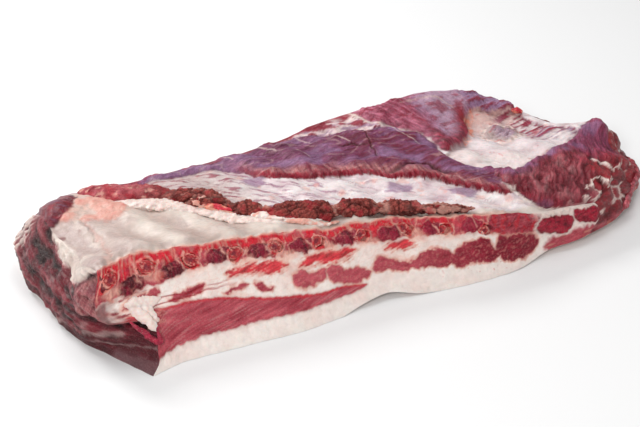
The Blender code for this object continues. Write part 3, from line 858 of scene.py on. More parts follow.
@dataclass
class SawnSide(Skin):
    """Loin side, sawn through the ribs: fat, lean and the row of rib ends."""

    def block(self, u: Array, v: Array) -> tuple[Array, Array, Array]:
        """The sheet runs along the slab and upwards."""
        return u, np.zeros_like(u), v

    def sink(self, a: Array, b: Array, c: Array) -> tuple[Array, Array, Array]:
        """The rim turns in behind the sawn face."""
        return np.clip(a, 0.06, 0.94), b + 0.12, np.clip(c, 0.2, 0.6)

    def paint(self) -> None:
        """Fat first, then the lean, the seam's shreds and the rib row."""
        canvas, place = self.canvas, self.base
        flat = np.stack([self.x, self.z], -1)
        self.fat()
        canvas.comb(flat, 12.0)
        self.lean()
        self.rib_row()
        self.flank()
        canvas.lift(0.35 * GRAIN.layers(place, 5.0, 3) + 0.5 * GRAIN.smooth(place, 16.0))

    def fat(self) -> None:
        """Back fat and seam fat, pinker low down and to the flank, with faint lobules."""
        canvas, place = self.canvas, self.base
        tone = 0.16 + 0.35 * GRAIN.layers(place, 30.0, 3) + 0.10 * ease(-50, 150, self.x)
        canvas.paint(WHITE_FAT, 1.0, tone)
        _, wall, _ = GRAIN.cells(place, (7.0, 7.0, 3.2))
        canvas.paint(PINK_FAT, 0.3 * ease(0.10, 0.0, wall) * ease(0.3, 0.5, self.c), 0.3)
        blush = ease(0.25, 0.75, GRAIN.layers(place + 400, (22.0, 22.0, 12.0), 3))
        canvas.paint(PINK_FAT, 0.35 * blush * ease(0.30, 0.5, self.c), 0.25)
        spots = ease(0.62, 0.8, GRAIN.smooth(place + 700, 3.0))
        canvas.paint(BLOOD_RED, 0.35 * spots * ease(-20, 60, self.x), 0.4)

    def lean(self) -> None:
        """The long lean sheet, the chain of streaks behind it and the seam's shreds."""
        canvas, place = self.canvas, self.base
        x, _, z = self.wobble(0.9, 7.0)
        sheet = LEAN_SHEET.inside(x, z)
        turn = math.radians(12.0)
        along = self.x * math.cos(turn) + self.z * math.sin(turn)
        across = self.z * math.cos(turn) - self.x * math.sin(turn)
        fibres = GRAIN.layers(np.stack([along, across, place[..., 1] * 0], -1), (26, 1.7, 9), 2)
        broad = GRAIN.layers(place, (30.0, 9.0, 9.0), 2)
        tone = 0.5 + 0.4 * fibres + 0.3 * broad
        canvas.paint(SINEW, ease(-2.2, 0.2, sheet), 0.4)
        canvas.paint(ROSE_LEAN, ease(-0.5, 0.9, sheet), tone)
        pale = ease(0.30, 0.6, GRAIN.smooth(np.stack([along, across, along * 0 + 5], -1), (20, 1.1, 9)))
        canvas.paint(SINEW, 0.22 * pale * ease(0, 2, sheet), 0.9)
        upper = ease(0, 1.5, self.z - curve(((-240, 24), (-120, 18), (-40, 15)), self.x))
        canvas.paint(BLOOD_RED, 0.8 * band(sheet, 0.6, 1.5) * upper, 0.35)
        canvas.lift(0.5 * ease(0, 3, sheet) + 0.25 * fibres * ease(0, 2, sheet))
        x, _, z = self.wobble(1.5, 5.0)
        chain = np.max([streak.inside(x, z) for streak in STREAKS], axis=0)
        specks = ease(0.15, 0.6, GRAIN.smooth(place + 60, (2.6, 2.6, 2.0)))
        deep = 0.15 + 0.6 * ease(-90, 110, self.x) + 0.3 * GRAIN.layers(place, (9, 9, 3), 3)
        canvas.paint(PINK_FAT, 0.9 * ease(-2.4, -0.3, chain), 0.35)
        canvas.paint(ROSE_LEAN, ease(-0.6, 0.7, chain), 0.2 + 0.8 * deep)
        canvas.paint(CRIMSON, 0.8 * ease(0, 1.5, chain) * ease(0, 80, self.x), deep - 0.2)
        canvas.paint(PINK_FAT, 0.3 * specks * ease(0.3, 2, chain), 0.6)
        canvas.lift(0.9 * ease(-0.5, 3, chain) + 0.35 * ease(0, 1, chain) * specks)
        shreds = np.max([shred.inside(x, z) for shred in SEAM_SHREDS], axis=0)
        canvas.paint(PINK_FAT, 0.8 * ease(-2.0, 0, shreds), 0.4)
        canvas.paint(ROSE_LEAN, ease(-0.5, 0.6, shreds), 0.6 + 0.4 * fibres)
        bands = np.max([patch.inside(x, z) for patch in RED_BANDS], axis=0)
        streaky = GRAIN.layers(np.stack([along, across, along * 0 + 9], -1), (12, 1.6, 9), 3)
        canvas.paint(PINK_FAT, 0.8 * ease(-2.5, 0.0, bands + 2.2 * streaky), 0.4)
        canvas.paint(BLOOD_RED, 0.9 * ease(-0.4, 1.6, bands + 2.2 * streaky), 0.2 + 0.8 * streaky)
        for level, drop in ((41.5, 0.020), (38.5, 0.035)):
            line = self.z - level - drop * (self.x + 200) - 1.2 * GRAIN.layers(place, (20, 9, 9), 2)
            reach = ease(-236, -215, self.x) * ease(-140, -170, self.x)
            canvas.paint(BLOOD_RED, 0.75 * band(line, 0, 0.8) * reach, 0.6)
            canvas.lift(-0.8 * band(line, 0, 1.2) * reach)

    def rib_row(self) -> None:
        """Rib ends in their rims, with striped meat and dark lobes between them."""
        canvas, place = self.canvas, self.base
        x, _, z = self.wobble(1.6, 7.0)
        top = self.z[:, -1:]
        foot = curve(ROW_FOOT, self.x)
        row = z - foot
        reach = ease(118, 100, self.x)
        low = (top - z) / (top - foot)
        flat = np.stack([self.x + 0.2 * (self.z - foot), place[..., 1] * 0, self.z], -1)
        fibres = GRAIN.layers(flat + 9, (2.2, 9, 11), 3)
        patches = GRAIN.layers(place + 61, 8.0, 3)
        canvas.paint(SINEW, ease(-2.4, 0.6, row) * reach, 0.6)
        inside = ease(0.0, 1.6, row + 1.2 * patches) * reach
        canvas.comb(np.stack([self.x, self.z], -1), 84.0, inside)
        canvas.paint(BLOOD_RED, inside, 0.3 + 0.9 * fibres + 0.4 * patches)
        canvas.paint(CRIMSON, inside * ease(0.25, 0.7, low + 0.3 * patches), 0.3 + 0.8 * fibres)
        canvas.paint(BONE_RIM, 0.6 * inside * ease(0.1, 0.5, fibres + 0.5 * patches), 0.5)
        cloud = GRAIN.layers(place + 161, (13.0, 13.0, 9.0), 3)
        canvas.paint(ROSE_LEAN, 0.6 * inside * ease(0.0, 0.45, cloud), 0.2 + 0.5 * fibres)
        canvas.lift(inside * (0.5 * fibres - 0.8 + 0.4 * patches))
        centres = rib_centres()
        _, wall, tone = GRAIN.cells(flat + np.stack([x - self.x, x * 0, z - self.z], -1),
                                    (8.0, 99.0, 8.5))
        for number, (cx, cz) in enumerate(centres):
            after = centres[number + 1] if number + 1 < len(centres) else centres[-1] + (30, -3)
            mx = 0.38 * cx + 0.62 * after[0]
            base = curve(ROW_FOOT, np.array(mx))
            lobe = np.hypot((x - mx) / 10.0, (z - base - 5.6) / 5.2) - 0.2 * patches
            within = ease(1.12, 0.98, lobe) * reach
            canvas.paint(BONE_RIM, 0.6 * ease(1.30, 1.12, lobe) * reach * ease(-0.4, 0.3, patches), 0.3)
            canvas.paint(LOBE_DARK, within, 0.85 - 0.1 * number + 0.4 * (tone - 0.5) + 0.5 * fibres)
            net = ease(0.10, 0.02, wall) * ease(-0.2, 0.2, GRAIN.layers(place + 21, 7.0, 2))
            canvas.paint(BONE_RIM, 0.35 * within * net, 0.6)
            canvas.lift(within * (2.4 * np.clip(1 - lobe, 0, 1) ** 0.5 + 0.8 * ease(0, 0.3, wall)))
        end = ease(-236, -246, self.x + 5 * patches) * ease(20, 30, self.z)
        streaky = GRAIN.layers(np.stack([self.x + 2 * self.z, self.y * 0, self.z], -1), (14, 9, 4), 3)
        under = ease(-210, -222, self.x) * ease(20, 30, self.z) * ease(1.0, -2.0, row)
        canvas.paint(BONE_RIM, 0.5 * under * ease(-0.3, 0.2, streaky), 0.2)
        canvas.paint(CRIMSON, 0.85 * under * ease(0.15, 0.45, streaky), 0.4)
        canvas.paint(DULL_ROSE, 0.8 * end * ease(2.0, -2.0, row), 0.1 + 0.6 * fibres)
        canvas.paint(BONE_RIM, 0.9 * band(self.z - top, -0.2, 1.7) * reach
                     * ease(-0.6, 0.0, GRAIN.smooth(place, 5.0)), 0.1)
        for number, (cx, cz) in enumerate(centres):
            lean = 0.22 * math.sin(2.4 * number + 1)
            dx, dz = x - cx, z - cz
            width, height = rib_size(number)
            for way, slope in ((-1.0, 0.35), (1.0, -0.25)):
                wall_line = dx - way * (width + 2.4) + slope * dz
                span = inside * ease(-13, -8, dz) * ease(1.0, 0.0, np.abs(dz) / 30)
                canvas.paint(BONE_RIM, 0.8 * span * band(wall_line, 0, 1.7) * ease(-0.6, 0.1, patches), 0.15)
            fat = np.hypot((dx - 5) / 9.5, (dz + height + 2.5) / 4.0) + 0.5 * cloud
            canvas.paint(BONE_RIM, 0.6 * ease(1.3, 0.6, fat) * reach * ease(-5, 0, row), 0.1 + 0.9 * patches)
            ring = np.hypot((dx - lean * dz) / width, dz / height) + 0.06 * patches
            near = ease(1.30, 1.16, ring) * ease(-4.0, -1.0, self.z - foot)
            canvas.paint(BONE_RIM, 0.75 * near, 0.6 + 0.7 * patches)
            canvas.paint(BLOOD_RED, 0.85 * near * ease(-0.05, 0.25, patches), 0.35)
            canvas.paint(WHITE_FAT, 0.4 * band(ring, 1.24, 0.12) * ease(0.2, -0.3, patches), 0.7)
            canvas.lift(near * 1.2 - 3.0 * ease(1.02, 0.9, ring))

    def flank(self) -> None:
        """Muscle over the last streaks, and the lumps and thin meat of the flank."""
        canvas, place = self.canvas, self.base
        x, _, z = self.wobble(1.8, 6.0)
        fibres = GRAIN.layers(place, (9.0, 9.0, 2.0), 3)
        coarse = GRAIN.layers(place + 66, 5.0, 3)
        over = OVER_MUSCLE.inside(x, z)
        canvas.paint(PINK_FAT, 0.8 * ease(-2, 0.3, over), 0.3)
        canvas.paint(ROSE_LEAN, ease(-0.4, 1.0, over), 0.75 + 0.6 * fibres)
        canvas.paint(BLOOD_RED, 0.7 * ease(-0.4, 1.0, over) * ease(0.0, 0.4, coarse), 0.5)
        canvas.lift(1.3 * ease(-0.5, 3, over) + 0.5 * coarse * ease(0, 1, over))
        meat = EDGE_MEAT.inside(x, z)
        canvas.paint(ROSE_LEAN, ease(-1.5, 3.0, meat), 0.55 + 0.5 * fibres)
        canvas.paint(PINK_FAT, 0.6 * ease(0.15, 0.6, fibres) * ease(-1, 2, meat), 0.6)
        lumps = np.max([lump.inside(x, z) for lump in FLANK_LUMPS], axis=0)
        canvas.paint(SINEW, ease(-3.0, -0.6, lumps), 0.3)
        canvas.paint(CRIMSON, ease(-0.7, 0.7, lumps), 0.25 + 0.5 * fibres - 0.4 * coarse)
        canvas.lift(2.2 * ease(-0.5, 4, lumps) + 0.7 * coarse * ease(0, 1, lumps))
        torn = GRAIN.layers(place + 99, 6.0, 3)
        high = ease(0.84, 0.93, self.c + 0.08 * torn) * ease(118, 135, self.x)
        canvas.paint(SINEW, 0.95 * high, 0.2 + 0.5 * torn)
        canvas.lift(high * (1.0 + 1.4 * torn))
        end = ease(200, 212, self.x + 8 * torn)
        canvas.paint(RAW_MEAT, 0.85 * end, 0.4 + 0.5 * fibres)


BELLY_MUSCLE = Outline(((-190, 93), (-150, 91), (-100, 91), (-50, 92), (-14, 88), (21, 80),
                        (60, 73), (92, 65), (99, 42), (99, 14), (113, -3), (130, -18), (142, -32),
                        (134, -52), (116, -62), (97, -46), (73, -20), (41, -4), (4, 10), (-35, 19),
                        (-69, 29), (-90, 57), (-116, 73), (-145, 76), (-178, 86)))
HUMP_EDGE = Outline(((52, 96), (63, 81), (79, 71), (95, 62), (100, 42), (104, 25), (122, 34),
                     (143, 54), (154, 76), (166, 86), (186, 82), (207, 76), (214, 92), (205, 125),
                     (100, 130), (50, 118)))
HOLLOW = Outline(((98, 16), (108, 26), (126, 40), (143, 56), (154, 77), (166, 88), (186, 84),
                  (207, 78), (215, 58), (231, 34), (240, 12), (224, 2), (189, -7), (162, -16),
                  (139, -27), (120, -8), (104, 8)))
FAT_ISLAND = Outline(((160, 58), (178, 68), (194, 61), (197, 46), (178, 31), (163, 40)))
FLANK_MUSCLE = Outline(((130, -20), (160, -14), (189, -6), (222, 3), (240, 13), (262, 26),
                        (280, 10), (290, -30), (262, -70), (215, -95), (173, -90), (154, -88),
                        (137, -80), (126, -57), (122, -35)))
WHITE_BAND_TOP = ((-240, 97), (-178, 84), (-145, 74), (-116, 73), (-90, 58), (-69, 29), (-35, 19),
                  (4, 10), (41, -4), (73, -19), (97, -44), (120, -64), (150, -84))
STRIP_MIDDLE = ((-262, 92), (-235, 88), (-215, 66), (-198, 46), (-178, 40), (-158, 24), (-138, 6),
                (-116, -16), (-95, -31), (-78, -39), (-47, -50), (-24, -52), (1, -58), (30, -67),
                (71, -76), (100, -84))
APRON = Outline(((-300, 30), (-262, 27), (-237, 22), (-236, -20), (-243, -50), (-250, -68),
                 (-262, -90), (-300, -80)))
SHOULDER_KNOB = Outline(((-286, 48), (-276, 84), (-252, 98), (-236, 92), (-230, 72), (-240, 46),
                         (-254, 34), (-274, 28)))
EDGE_FAT = Outline(((-256, 40), (-240, 52), (-228, 74), (-215, 66), (-196, 46), (-196, 28),
                    (-212, 12), (-232, 20), (-250, 28)))
LILAC_SPOTS = (Outline(((20, -16), (32, -10), (45, -16), (38, -26), (24, -25))),
               Outline(((-96, 34), (-82, 40), (-72, 32), (-84, 24))),
               Outline(((70, -42), (84, -36), (92, -48), (80, -56))))
MEMBRANES = (Line(((226, -26), (234, -36), (240, -43), (250, -38), (257, -33))),
             Line(((192, -68), (204, -60), (215, -54), (219, -64), (227, -60), (236, -52))),
             Line(((162, -88), (170, -83), (177, -86), (184, -80), (192, -82), (206, -76))),
             Line(((206, -76), (200, -68), (204, -60))),
             Line(((236, -52), (246, -50), (256, -44))))
STRINGS = (Line(((-92, 88), (-84, 74))), Line(((-58, 88), (-46, 68))), Line(((-20, 84), (-11, 68))),
           Line(((-30, 62), (-22, 50))), Line(((70, 68), (84, 40))), Line(((14, 72), (22, 60))))
CRACK = Line(((45, 76), (40, 60), (37, 46), (35, 26)))
SLIT = Line(((8, 57), (20, 56), (36, 46)))
CREASE = Line(((34, 5), (55, 9), (73, 9), (80, -6), (90, -18)))


@dataclass
class RibSide(Skin):
    """Upper side: pleura, fascia, the belly muscle, the hump, the hollow and the flank."""

    def block(self, u: Array, v: Array) -> tuple[Array, Array, Array]:
        """The sheet runs along the slab and away from the sawn side."""
        return u, v, np.ones_like(u)

    def sink(self, a: Array, b: Array, c: Array) -> tuple[Array, Array, Array]:
        """The rim turns down into the slab."""
        return np.clip(a, 0.06, 0.94), np.clip(b, 0.14, 0.93), c - 0.55

    def paint(self) -> None:
        """From the pleura at the sawn side to the muscles at the belly side."""
        canvas = self.canvas
        flat = np.stack([self.x, self.y], -1)
        canvas.comb(flat, 20.0)
        self.pleura()
        self.fascia()
        self.belly_muscle(flat)
        self.belly_edge(flat)
        self.hump(flat)
        self.hollow()
        self.flank(flat)
        self.shoulder()
        canvas.lift(0.35 * GRAIN.layers(self.base, 6.0, 3) * (1 - 0.7 * canvas.grain[..., 0]))

    def pleura(self) -> None:
        """Glossy white skin over the ribs, which show as low ridges."""
        canvas, place = self.canvas, self.base
        ribs = np.cos(2 * math.pi * (self.x + 244 + 0.35 * (self.y + 70)) / 36.0)
        tone = 0.42 + 0.4 * GRAIN.layers(place, 26.0, 2) - 0.25 * ribs
        canvas.paint(PLEURA, 1.0, tone)
        grey = ease(0.1, 0.6, GRAIN.layers(place + 20, (14, 26, 14), 3))
        canvas.paint(GREY_FASCIA, 0.45 * grey, 0.2)
        canvas.paint(GREY_FASCIA, 0.6 * ease(-196, -222, self.x) * ease(-76, -50, self.y), 0.15)
        # Painted shadow of the diaphragm strip, in a band on the pleura just in front of it.
        under = self.y - curve(STRIP_MIDDLE, self.x) + 2.0 * GRAIN.smooth(place, 8.0)
        canvas.paint(CRUMB_SHADE, 0.75 * band(under, -8.5, 4.0) * ease(-150, -110, self.x), 0.4)
        canvas.lift(1.4 * ribs + 1.6 * GRAIN.smooth(place, 22.0))
        wrinkles = GRAIN.layers(np.stack([self.x, self.y * 2.2, self.z], -1), 9.0, 2)
        canvas.lift(0.15 * wrinkles)
        edge = ease(4.0, 0.5, self.b * 210) * ease(110, 90, self.x)
        canvas.paint(PINK_FAT, 0.7 * edge, 0.1)

    def fascia(self) -> None:
        """Pale band between the diaphragm and the belly muscle, streaked with purple."""
        canvas, place = self.canvas, self.base
        x, y, _ = self.wobble(2.0, 12.0)
        behind = y - curve(STRIP_MIDDLE, x)
        cover = ease(-2, 4, behind)
        tone = 0.25 + 0.5 * GRAIN.layers(place + 3, (26, 12, 12), 3)
        canvas.paint(BLUE_FASCIA, cover, tone)
        slant = np.stack([0.8 * x - 0.6 * y, 0.6 * x + 0.8 * y, x * 0], -1)
        streaks = GRAIN.layers(slant, (22, 3.6, 9), 3)
        left = ease(40, -60, x)
        canvas.paint(PURPLE, cover * ease(0.35, 0.75, streaks + 0.25 * left) * (0.35 + 0.3 * left), 0.2)
        canvas.paint(ORANGE_FAT, 0.35 * cover * ease(0.4, 0.8, GRAIN.layers(place + 14, 12.0, 3)), 0.2)
        worn = ease(-70, -120, x) * ease(2, 14, behind)
        canvas.paint(GREY_FASCIA, 0.7 * worn, 0.3 + 0.6 * streaks)
        canvas.paint(CRIMSON, 0.6 * worn * ease(0.15, 0.6, streaks), 0.4)
        for spot in LILAC_SPOTS:
            canvas.paint(LILAC, 0.7 * ease(-2.5, 2, spot.inside(x, y) + 2 * streaks), 0.3)
        canvas.lift(cover * (0.8 * GRAIN.layers(place, (20, 10, 9), 3) - 0.8 + 0.5 * streaks))
        canvas.paint(WHITE_FAT, 0.6 * band(behind, 11.0, 4.0), 0.1)

    def belly_muscle(self, flat: Array) -> None:
        """Purple sheet muscle, silvery above and frayed red along its lower edge."""
        canvas, place = self.canvas, self.base
        x, y, _ = self.wobble(1.8, 9.0)
        lower = y - curve(WHITE_BAND_TOP, x)
        teeth = GRAIN.layers(np.stack([self.x, self.y * 0.2, self.x * 0], -1), (4.4, 12, 9), 3)
        hemmed = ease(-100, -60, x)
        muscle = BELLY_MUSCLE.inside(x, y) + 3.4 * teeth * ease(16, 2, lower) * hemmed
        inside = ease(-0.8, 1.0, muscle)
        fibres = GRAIN.layers(np.stack([self.x + 0.5 * self.y, self.y - 0.2 * self.x, self.x * 0], -1),
                              (24, 3.0, 9), 3)
        slow = GRAIN.layers(place + 11, (30, 16, 16), 3)
        canvas.comb(flat, 8.0, inside)
        canvas.paint(PURPLE, inside, 0.5 + 0.5 * fibres + 0.4 * slow)
        sheen = ease(0.15, -0.35, slow) * ease(10, 26, lower)
        canvas.paint(LILAC, 0.8 * inside * np.maximum(sheen, ease(-40, -110, x)), 0.4 + 0.6 * fibres)
        canvas.paint(CRIMSON, 0.4 * inside * ease(-40, 60, x) * ease(0.1, 0.7, slow + fibres), 0.5)
        hem = ease(24, 9, lower + 4 * GRAIN.smooth(place, 12.0)) * hemmed
        canvas.comb(flat, 78.0, inside * hem)
        canvas.paint(FRINGE, 0.9 * inside * hem, 0.4 + 0.9 * teeth)
        red = ease(9, 2, lower + 5.0 * teeth) * ease(-95, -70, x)
        canvas.paint(CRIMSON, 0.95 * inside * red, 0.3 + 0.6 * teeth)
        canvas.lift(3.4 * ease(-0.5, 5.0, muscle) + inside * (0.5 * fibres + 0.9 * hem * teeth))
        canvas.lift(1.4 * slow * inside)
        for cut, width, depth in ((CRACK, 0.8, 1.4), (SLIT, 1.2, 1.6), (CREASE, 1.8, 2.2)):
            gap, share = cut.away(x, y)
            taper = np.sin(math.pi * share) ** 0.5
            canvas.paint(CRIMSON, 0.8 * ease(2.2 * width, 0.6 * width, gap) * taper, 0.9)
            canvas.paint(SHADOW, 0.55 * ease(width, 0, gap) * taper, 0.3)
            canvas.lift(-depth * ease(2 * width, 0, gap) * taper)
        for string in STRINGS:
            canvas.paint(SINEW, 0.7 * inside * ease(1.0, 0.3, string.away(self.x, self.y)[0]), 0.5)
        strings = ease(0.09, 0.0, np.abs(GRAIN.smooth(place + 77, (30, 12, 20))))
        canvas.paint(SINEW, 0.35 * inside * strings * ease(0, 0.3, slow + 0.1), 0.7)

    def belly_edge(self, flat: Array) -> None:
        """Strip of fat along the belly side behind the muscle, with a crimson rim."""
        canvas, place = self.canvas, self.base
        x, y, _ = self.wobble(1.8, 9.0)
        beyond = ease(-0.5, 1.5, y - curve(((-262, 92), (-190, 94), (-150, 93), (-50, 93), (-14, 88),
                                            (21, 80), (60, 73), (92, 66), (110, 60)), x))
        beyond = beyond * ease(95, 80, x)
        patches = GRAIN.layers(place + 31, (16, 7, 9), 3)
        canvas.paint(STRIP_FAT, beyond, 0.3 + 0.8 * patches)
        canvas.paint(LILAC, 0.7 * beyond * ease(0.1, 0.5, GRAIN.layers(place + 81, (22, 8, 9), 3)), 0.4)
        canvas.paint(CRIMSON, 0.85 * beyond * ease(0.05, 0.4, patches + 0.5 * ease(0.92, 1, self.b)), 0.35)
        rim = ease(0.945, 0.985, self.b + 0.03 * patches) * ease(150, 110, x)
        canvas.paint(CRIMSON, 0.9 * rim * ease(-210, -190, x), 0.3 + 0.4 * patches)
        canvas.lift(beyond * (1.5 * patches + 1.0))

    def hump(self, flat: Array) -> None:
        """Thick muscle at the belly side, with a white arc and a dark lobe in front."""
        canvas, place = self.canvas, self.base
        x, y, _ = self.wobble(2.0, 10.0)
        hump = HUMP_EDGE.inside(x, y)
        inside = ease(-0.8, 1.4, hump)
        turn = math.radians(-52.0)
        along = self.x * math.cos(turn) + self.y * math.sin(turn)
        across = self.y * math.cos(turn) - self.x * math.sin(turn)
        fibres = GRAIN.layers(np.stack([along, across, along * 0], -1), (16, 3.0, 9), 3)
        slow = GRAIN.layers(place + 71, 22.0, 3)
        canvas.comb(flat, -52.0, inside)
        canvas.paint(HUMP, inside, 0.4 + 0.8 * fibres + 0.4 * slow)
        canvas.paint(LILAC, 0.85 * inside * ease(98, 122, x + 8 * slow), 0.0 + 0.4 * fibres)
        canvas.paint(BLUE_FASCIA, 0.35 * inside * ease(104, 128, x + 8 * slow), 0.8)
        arc, share = Line(((92, 98), (112, 103), (134, 99), (147, 88))).away(x, y)
        canvas.paint(SINEW, 0.6 * ease(3.6, 1.0, arc + 3 * slow), 0.9)
        lobe = inside * ease(22, 6, hump) * ease(96, 108, x) * ease(98, 80, y) * ease(162, 150, x)
        canvas.paint(CRIMSON, 0.85 * lobe, 0.6 + 0.8 * fibres)
        canvas.paint(BLOOD_RED, 0.7 * lobe * ease(138, 150, x), 0.8)
        canvas.paint(CRIMSON, 0.6 * inside * ease(0.15, 0.6, GRAIN.layers(place, (18, 6, 9), 3)), 0.4)
        stripes = GRAIN.layers(np.stack([self.x + self.y * 0.4, self.y - self.x * 0.25, x * 0], -1),
                               (22, 4.5, 9), 3)
        shelf = inside * ease(158, 166, x)
        canvas.paint(LILAC, 0.8 * shelf, 0.2 + 0.6 * stripes)
        canvas.paint(CRIMSON, 0.8 * shelf * ease(0.0, 0.35, stripes), 0.5)
        canvas.lift(4.4 * ease(-1.0, 8.0, hump) + inside * (0.9 * fibres + 1.4 * slow)
                    + 1.2 * shelf * stripes)
        canvas.paint(SINEW, 0.85 * band(hump, -1.8, 3.0) * ease(96, 84, x), 0.2)

    def hollow(self) -> None:
        """White fascia in the hollow, with orange fat, an island and torn streaks."""
        canvas, place = self.canvas, self.base
        x, y, _ = self.wobble(2.2, 9.0)
        hollow = HOLLOW.inside(x, y)
        inside = ease(-1.0, 2.0, hollow)
        slow = GRAIN.layers(place + 41, (26, 14, 14), 3)
        canvas.paint(BLUE_FASCIA, inside, 0.35 + 0.35 * slow)
        canvas.paint(WHITE_FAT, 0.4 * inside * ease(26, 4, y + 0.35 * (x - 150)), 0.3 + 0.3 * slow)
        canvas.paint(PINK_FAT, 0.6 * inside * ease(60, 76, y + 6 * slow), 0.1)
        orange = ease(11.0, 4.0, Line(((136, 50), (147, 64), (154, 78), (160, 88))).away(x, y)[0])
        lumps = GRAIN.layers(place + 17, 5.0, 3)
        canvas.paint(ORANGE_FAT, inside * orange * ease(-0.5, 0.2, lumps), 0.1 + 0.7 * lumps)
        canvas.lift(1.6 * inside * orange * (0.6 + lumps))
        turn = math.radians(3.0)
        along = self.x * math.cos(turn) + self.y * math.sin(turn)
        across = self.y * math.cos(turn) - self.x * math.sin(turn)
        torn = GRAIN.layers(np.stack([along, across, along * 0], -1), (26, 4.2, 9), 3)
        corner = inside * ease(176, 200, x) * ease(14, 28, y + 0.3 * (x - 200))
        canvas.paint(GREY_FASCIA, 0.7 * corner * ease(-0.4, 0.3, torn), 0.2)
        canvas.paint(LILAC, 0.85 * corner * ease(-0.1, 0.25, torn), 0.3)
        canvas.paint(CRIMSON, 0.85 * corner * ease(0.15, 0.5, torn + 0.3 * ease(34, 60, y)), 0.3)
        island = FAT_ISLAND.inside(x, y)
        folds = GRAIN.layers(np.stack([self.x, self.y * 1.6, self.z], -1), 7.0, 3)
        canvas.paint(WHITE_FAT, 0.9 * band(island, 0.0, 3.4), 0.4 + 0.5 * folds)
        canvas.paint(GREY_FASCIA, 0.8 * ease(0.5, 3, island + 3 * folds), 0.2 + 0.6 * folds)
        canvas.paint(LILAC, 0.5 * ease(3, 8, island + 3 * folds) * ease(168, 180, x), 0.2)
        canvas.lift(-3.0 * inside + 2.2 * ease(-1, 4, island) + 2.0 * folds * ease(-4, 2, island))
        canvas.lift(inside * (0.9 * slow + 1.4 * torn * corner))
        veins = ease(0.035, 0.0, np.abs(GRAIN.smooth(place + 88, (40, 14, 20))))
        canvas.paint(BLOOD_RED, 0.5 * inside * veins * ease(0, 0.3, slow), 0.3)

    def flank(self, flat: Array) -> None:
        """Ridge of brown-red muscle at the flank, folded across its length."""
        canvas, place = self.canvas, self.base
        x, y, _ = self.wobble(2.4, 9.0)
        muscle = FLANK_MUSCLE.inside(x, y)
        torn = GRAIN.layers(place + 99, 6.0, 3)
        inside = ease(-0.8, 1.4, muscle + 1.5 * torn)
        turn = math.radians(62.0)
        along = self.x * math.cos(turn) + self.y * math.sin(turn)
        across = self.y * math.cos(turn) - self.x * math.sin(turn)
        sway = 4.0 * GRAIN.smooth(place + 6, 18.0)
        folds = GRAIN.layers(np.stack([along, across + sway, along * 0], -1), (24, 8.5, 9), 3)
        fibres = GRAIN.layers(np.stack([along, across + sway, along * 0 + 3], -1), (14, 2.6, 9), 3)
        slow = GRAIN.layers(place + 15, 20.0, 3)
        canvas.comb(flat, 62.0, inside)
        # The folds are painted deeper and crimson in their troughs and greyer on their ridges: painted shade
        # and highlight that follow the relief, over the muscle's own brown-red.
        canvas.paint(BROWN_MEAT, inside, 0.42 - 0.35 * folds + 0.5 * fibres + 0.35 * torn)
        canvas.paint(CRIMSON, 0.7 * inside * ease(0.0, -0.5, folds + 0.5 * torn), 0.7)
        canvas.paint(GREY_FASCIA, 0.22 * inside * ease(0.25, 0.6, folds + 0.3 * fibres), 0.4)
        upper = ease(-16, -4, HOLLOW.inside(x, y) + 5 * slow)
        canvas.paint(PURPLE, 0.85 * inside * upper, 0.35 + 0.7 * fibres)
        canvas.paint(LILAC, 0.7 * inside * upper * ease(0.0, 0.4, slow), 0.3)
        end = ease(212, 232, x - 0.25 * y + 10 * slow)
        canvas.paint(RAW_MEAT, 0.9 * inside * end * (1 - 0.6 * upper), 0.3 - 0.6 * folds + 0.5 * fibres)
        canvas.paint(BLOOD_RED, 0.5 * inside * end * ease(0.2, 0.5, torn), 0.8)
        canvas.paint(PURPLE, 0.7 * inside * end * ease(-34, -8, y + 6 * slow), 0.4 + 0.6 * fibres)
        canvas.paint(LILAC, 0.6 * inside * end * ease(-20, 0, y) * ease(-0.1, 0.3, slow), 0.5)
        crest = 1 - 0.75 * ease(-26, -8, HOLLOW.inside(x, y))
        canvas.lift(2.8 * ease(-1.0, 6.0, muscle)
                    + inside * crest * (1.7 * folds + 0.8 * fibres + 0.5 * torn))
        for membrane in MEMBRANES:
            gap, share = membrane.away(self.x + 3 * torn, self.y + 3 * GRAIN.layers(place + 38, 6.0, 3))
            width = 1.1 + 0.9 * GRAIN.smooth(place + 12, 5.0)
            canvas.paint(SINEW, 0.95 * ease(width + 0.7, width - 0.3, gap), 0.2 + 0.4 * torn)
            canvas.lift(1.6 * ease(width + 1.0, 0, gap))
        low = inside * ease(16, 3, muscle + 3 * slow) * ease(-35, -60, y)
        canvas.paint(CRIMSON, 0.75 * low, 0.5 + 0.6 * fibres)
        canvas.paint(LILAC, 0.5 * low * ease(0.0, 0.4, slow), 0.5)
        hem = ease(-6, -0.5, muscle + 2.5 * torn) * ease(1.5, -1.0, muscle + 2.5 * torn)
        hem = hem * ease(-30, -55, y)
        canvas.paint(SINEW, 0.95 * hem, 0.1 + 0.4 * torn)
        canvas.lift(hem * (1.2 + 1.6 * torn))

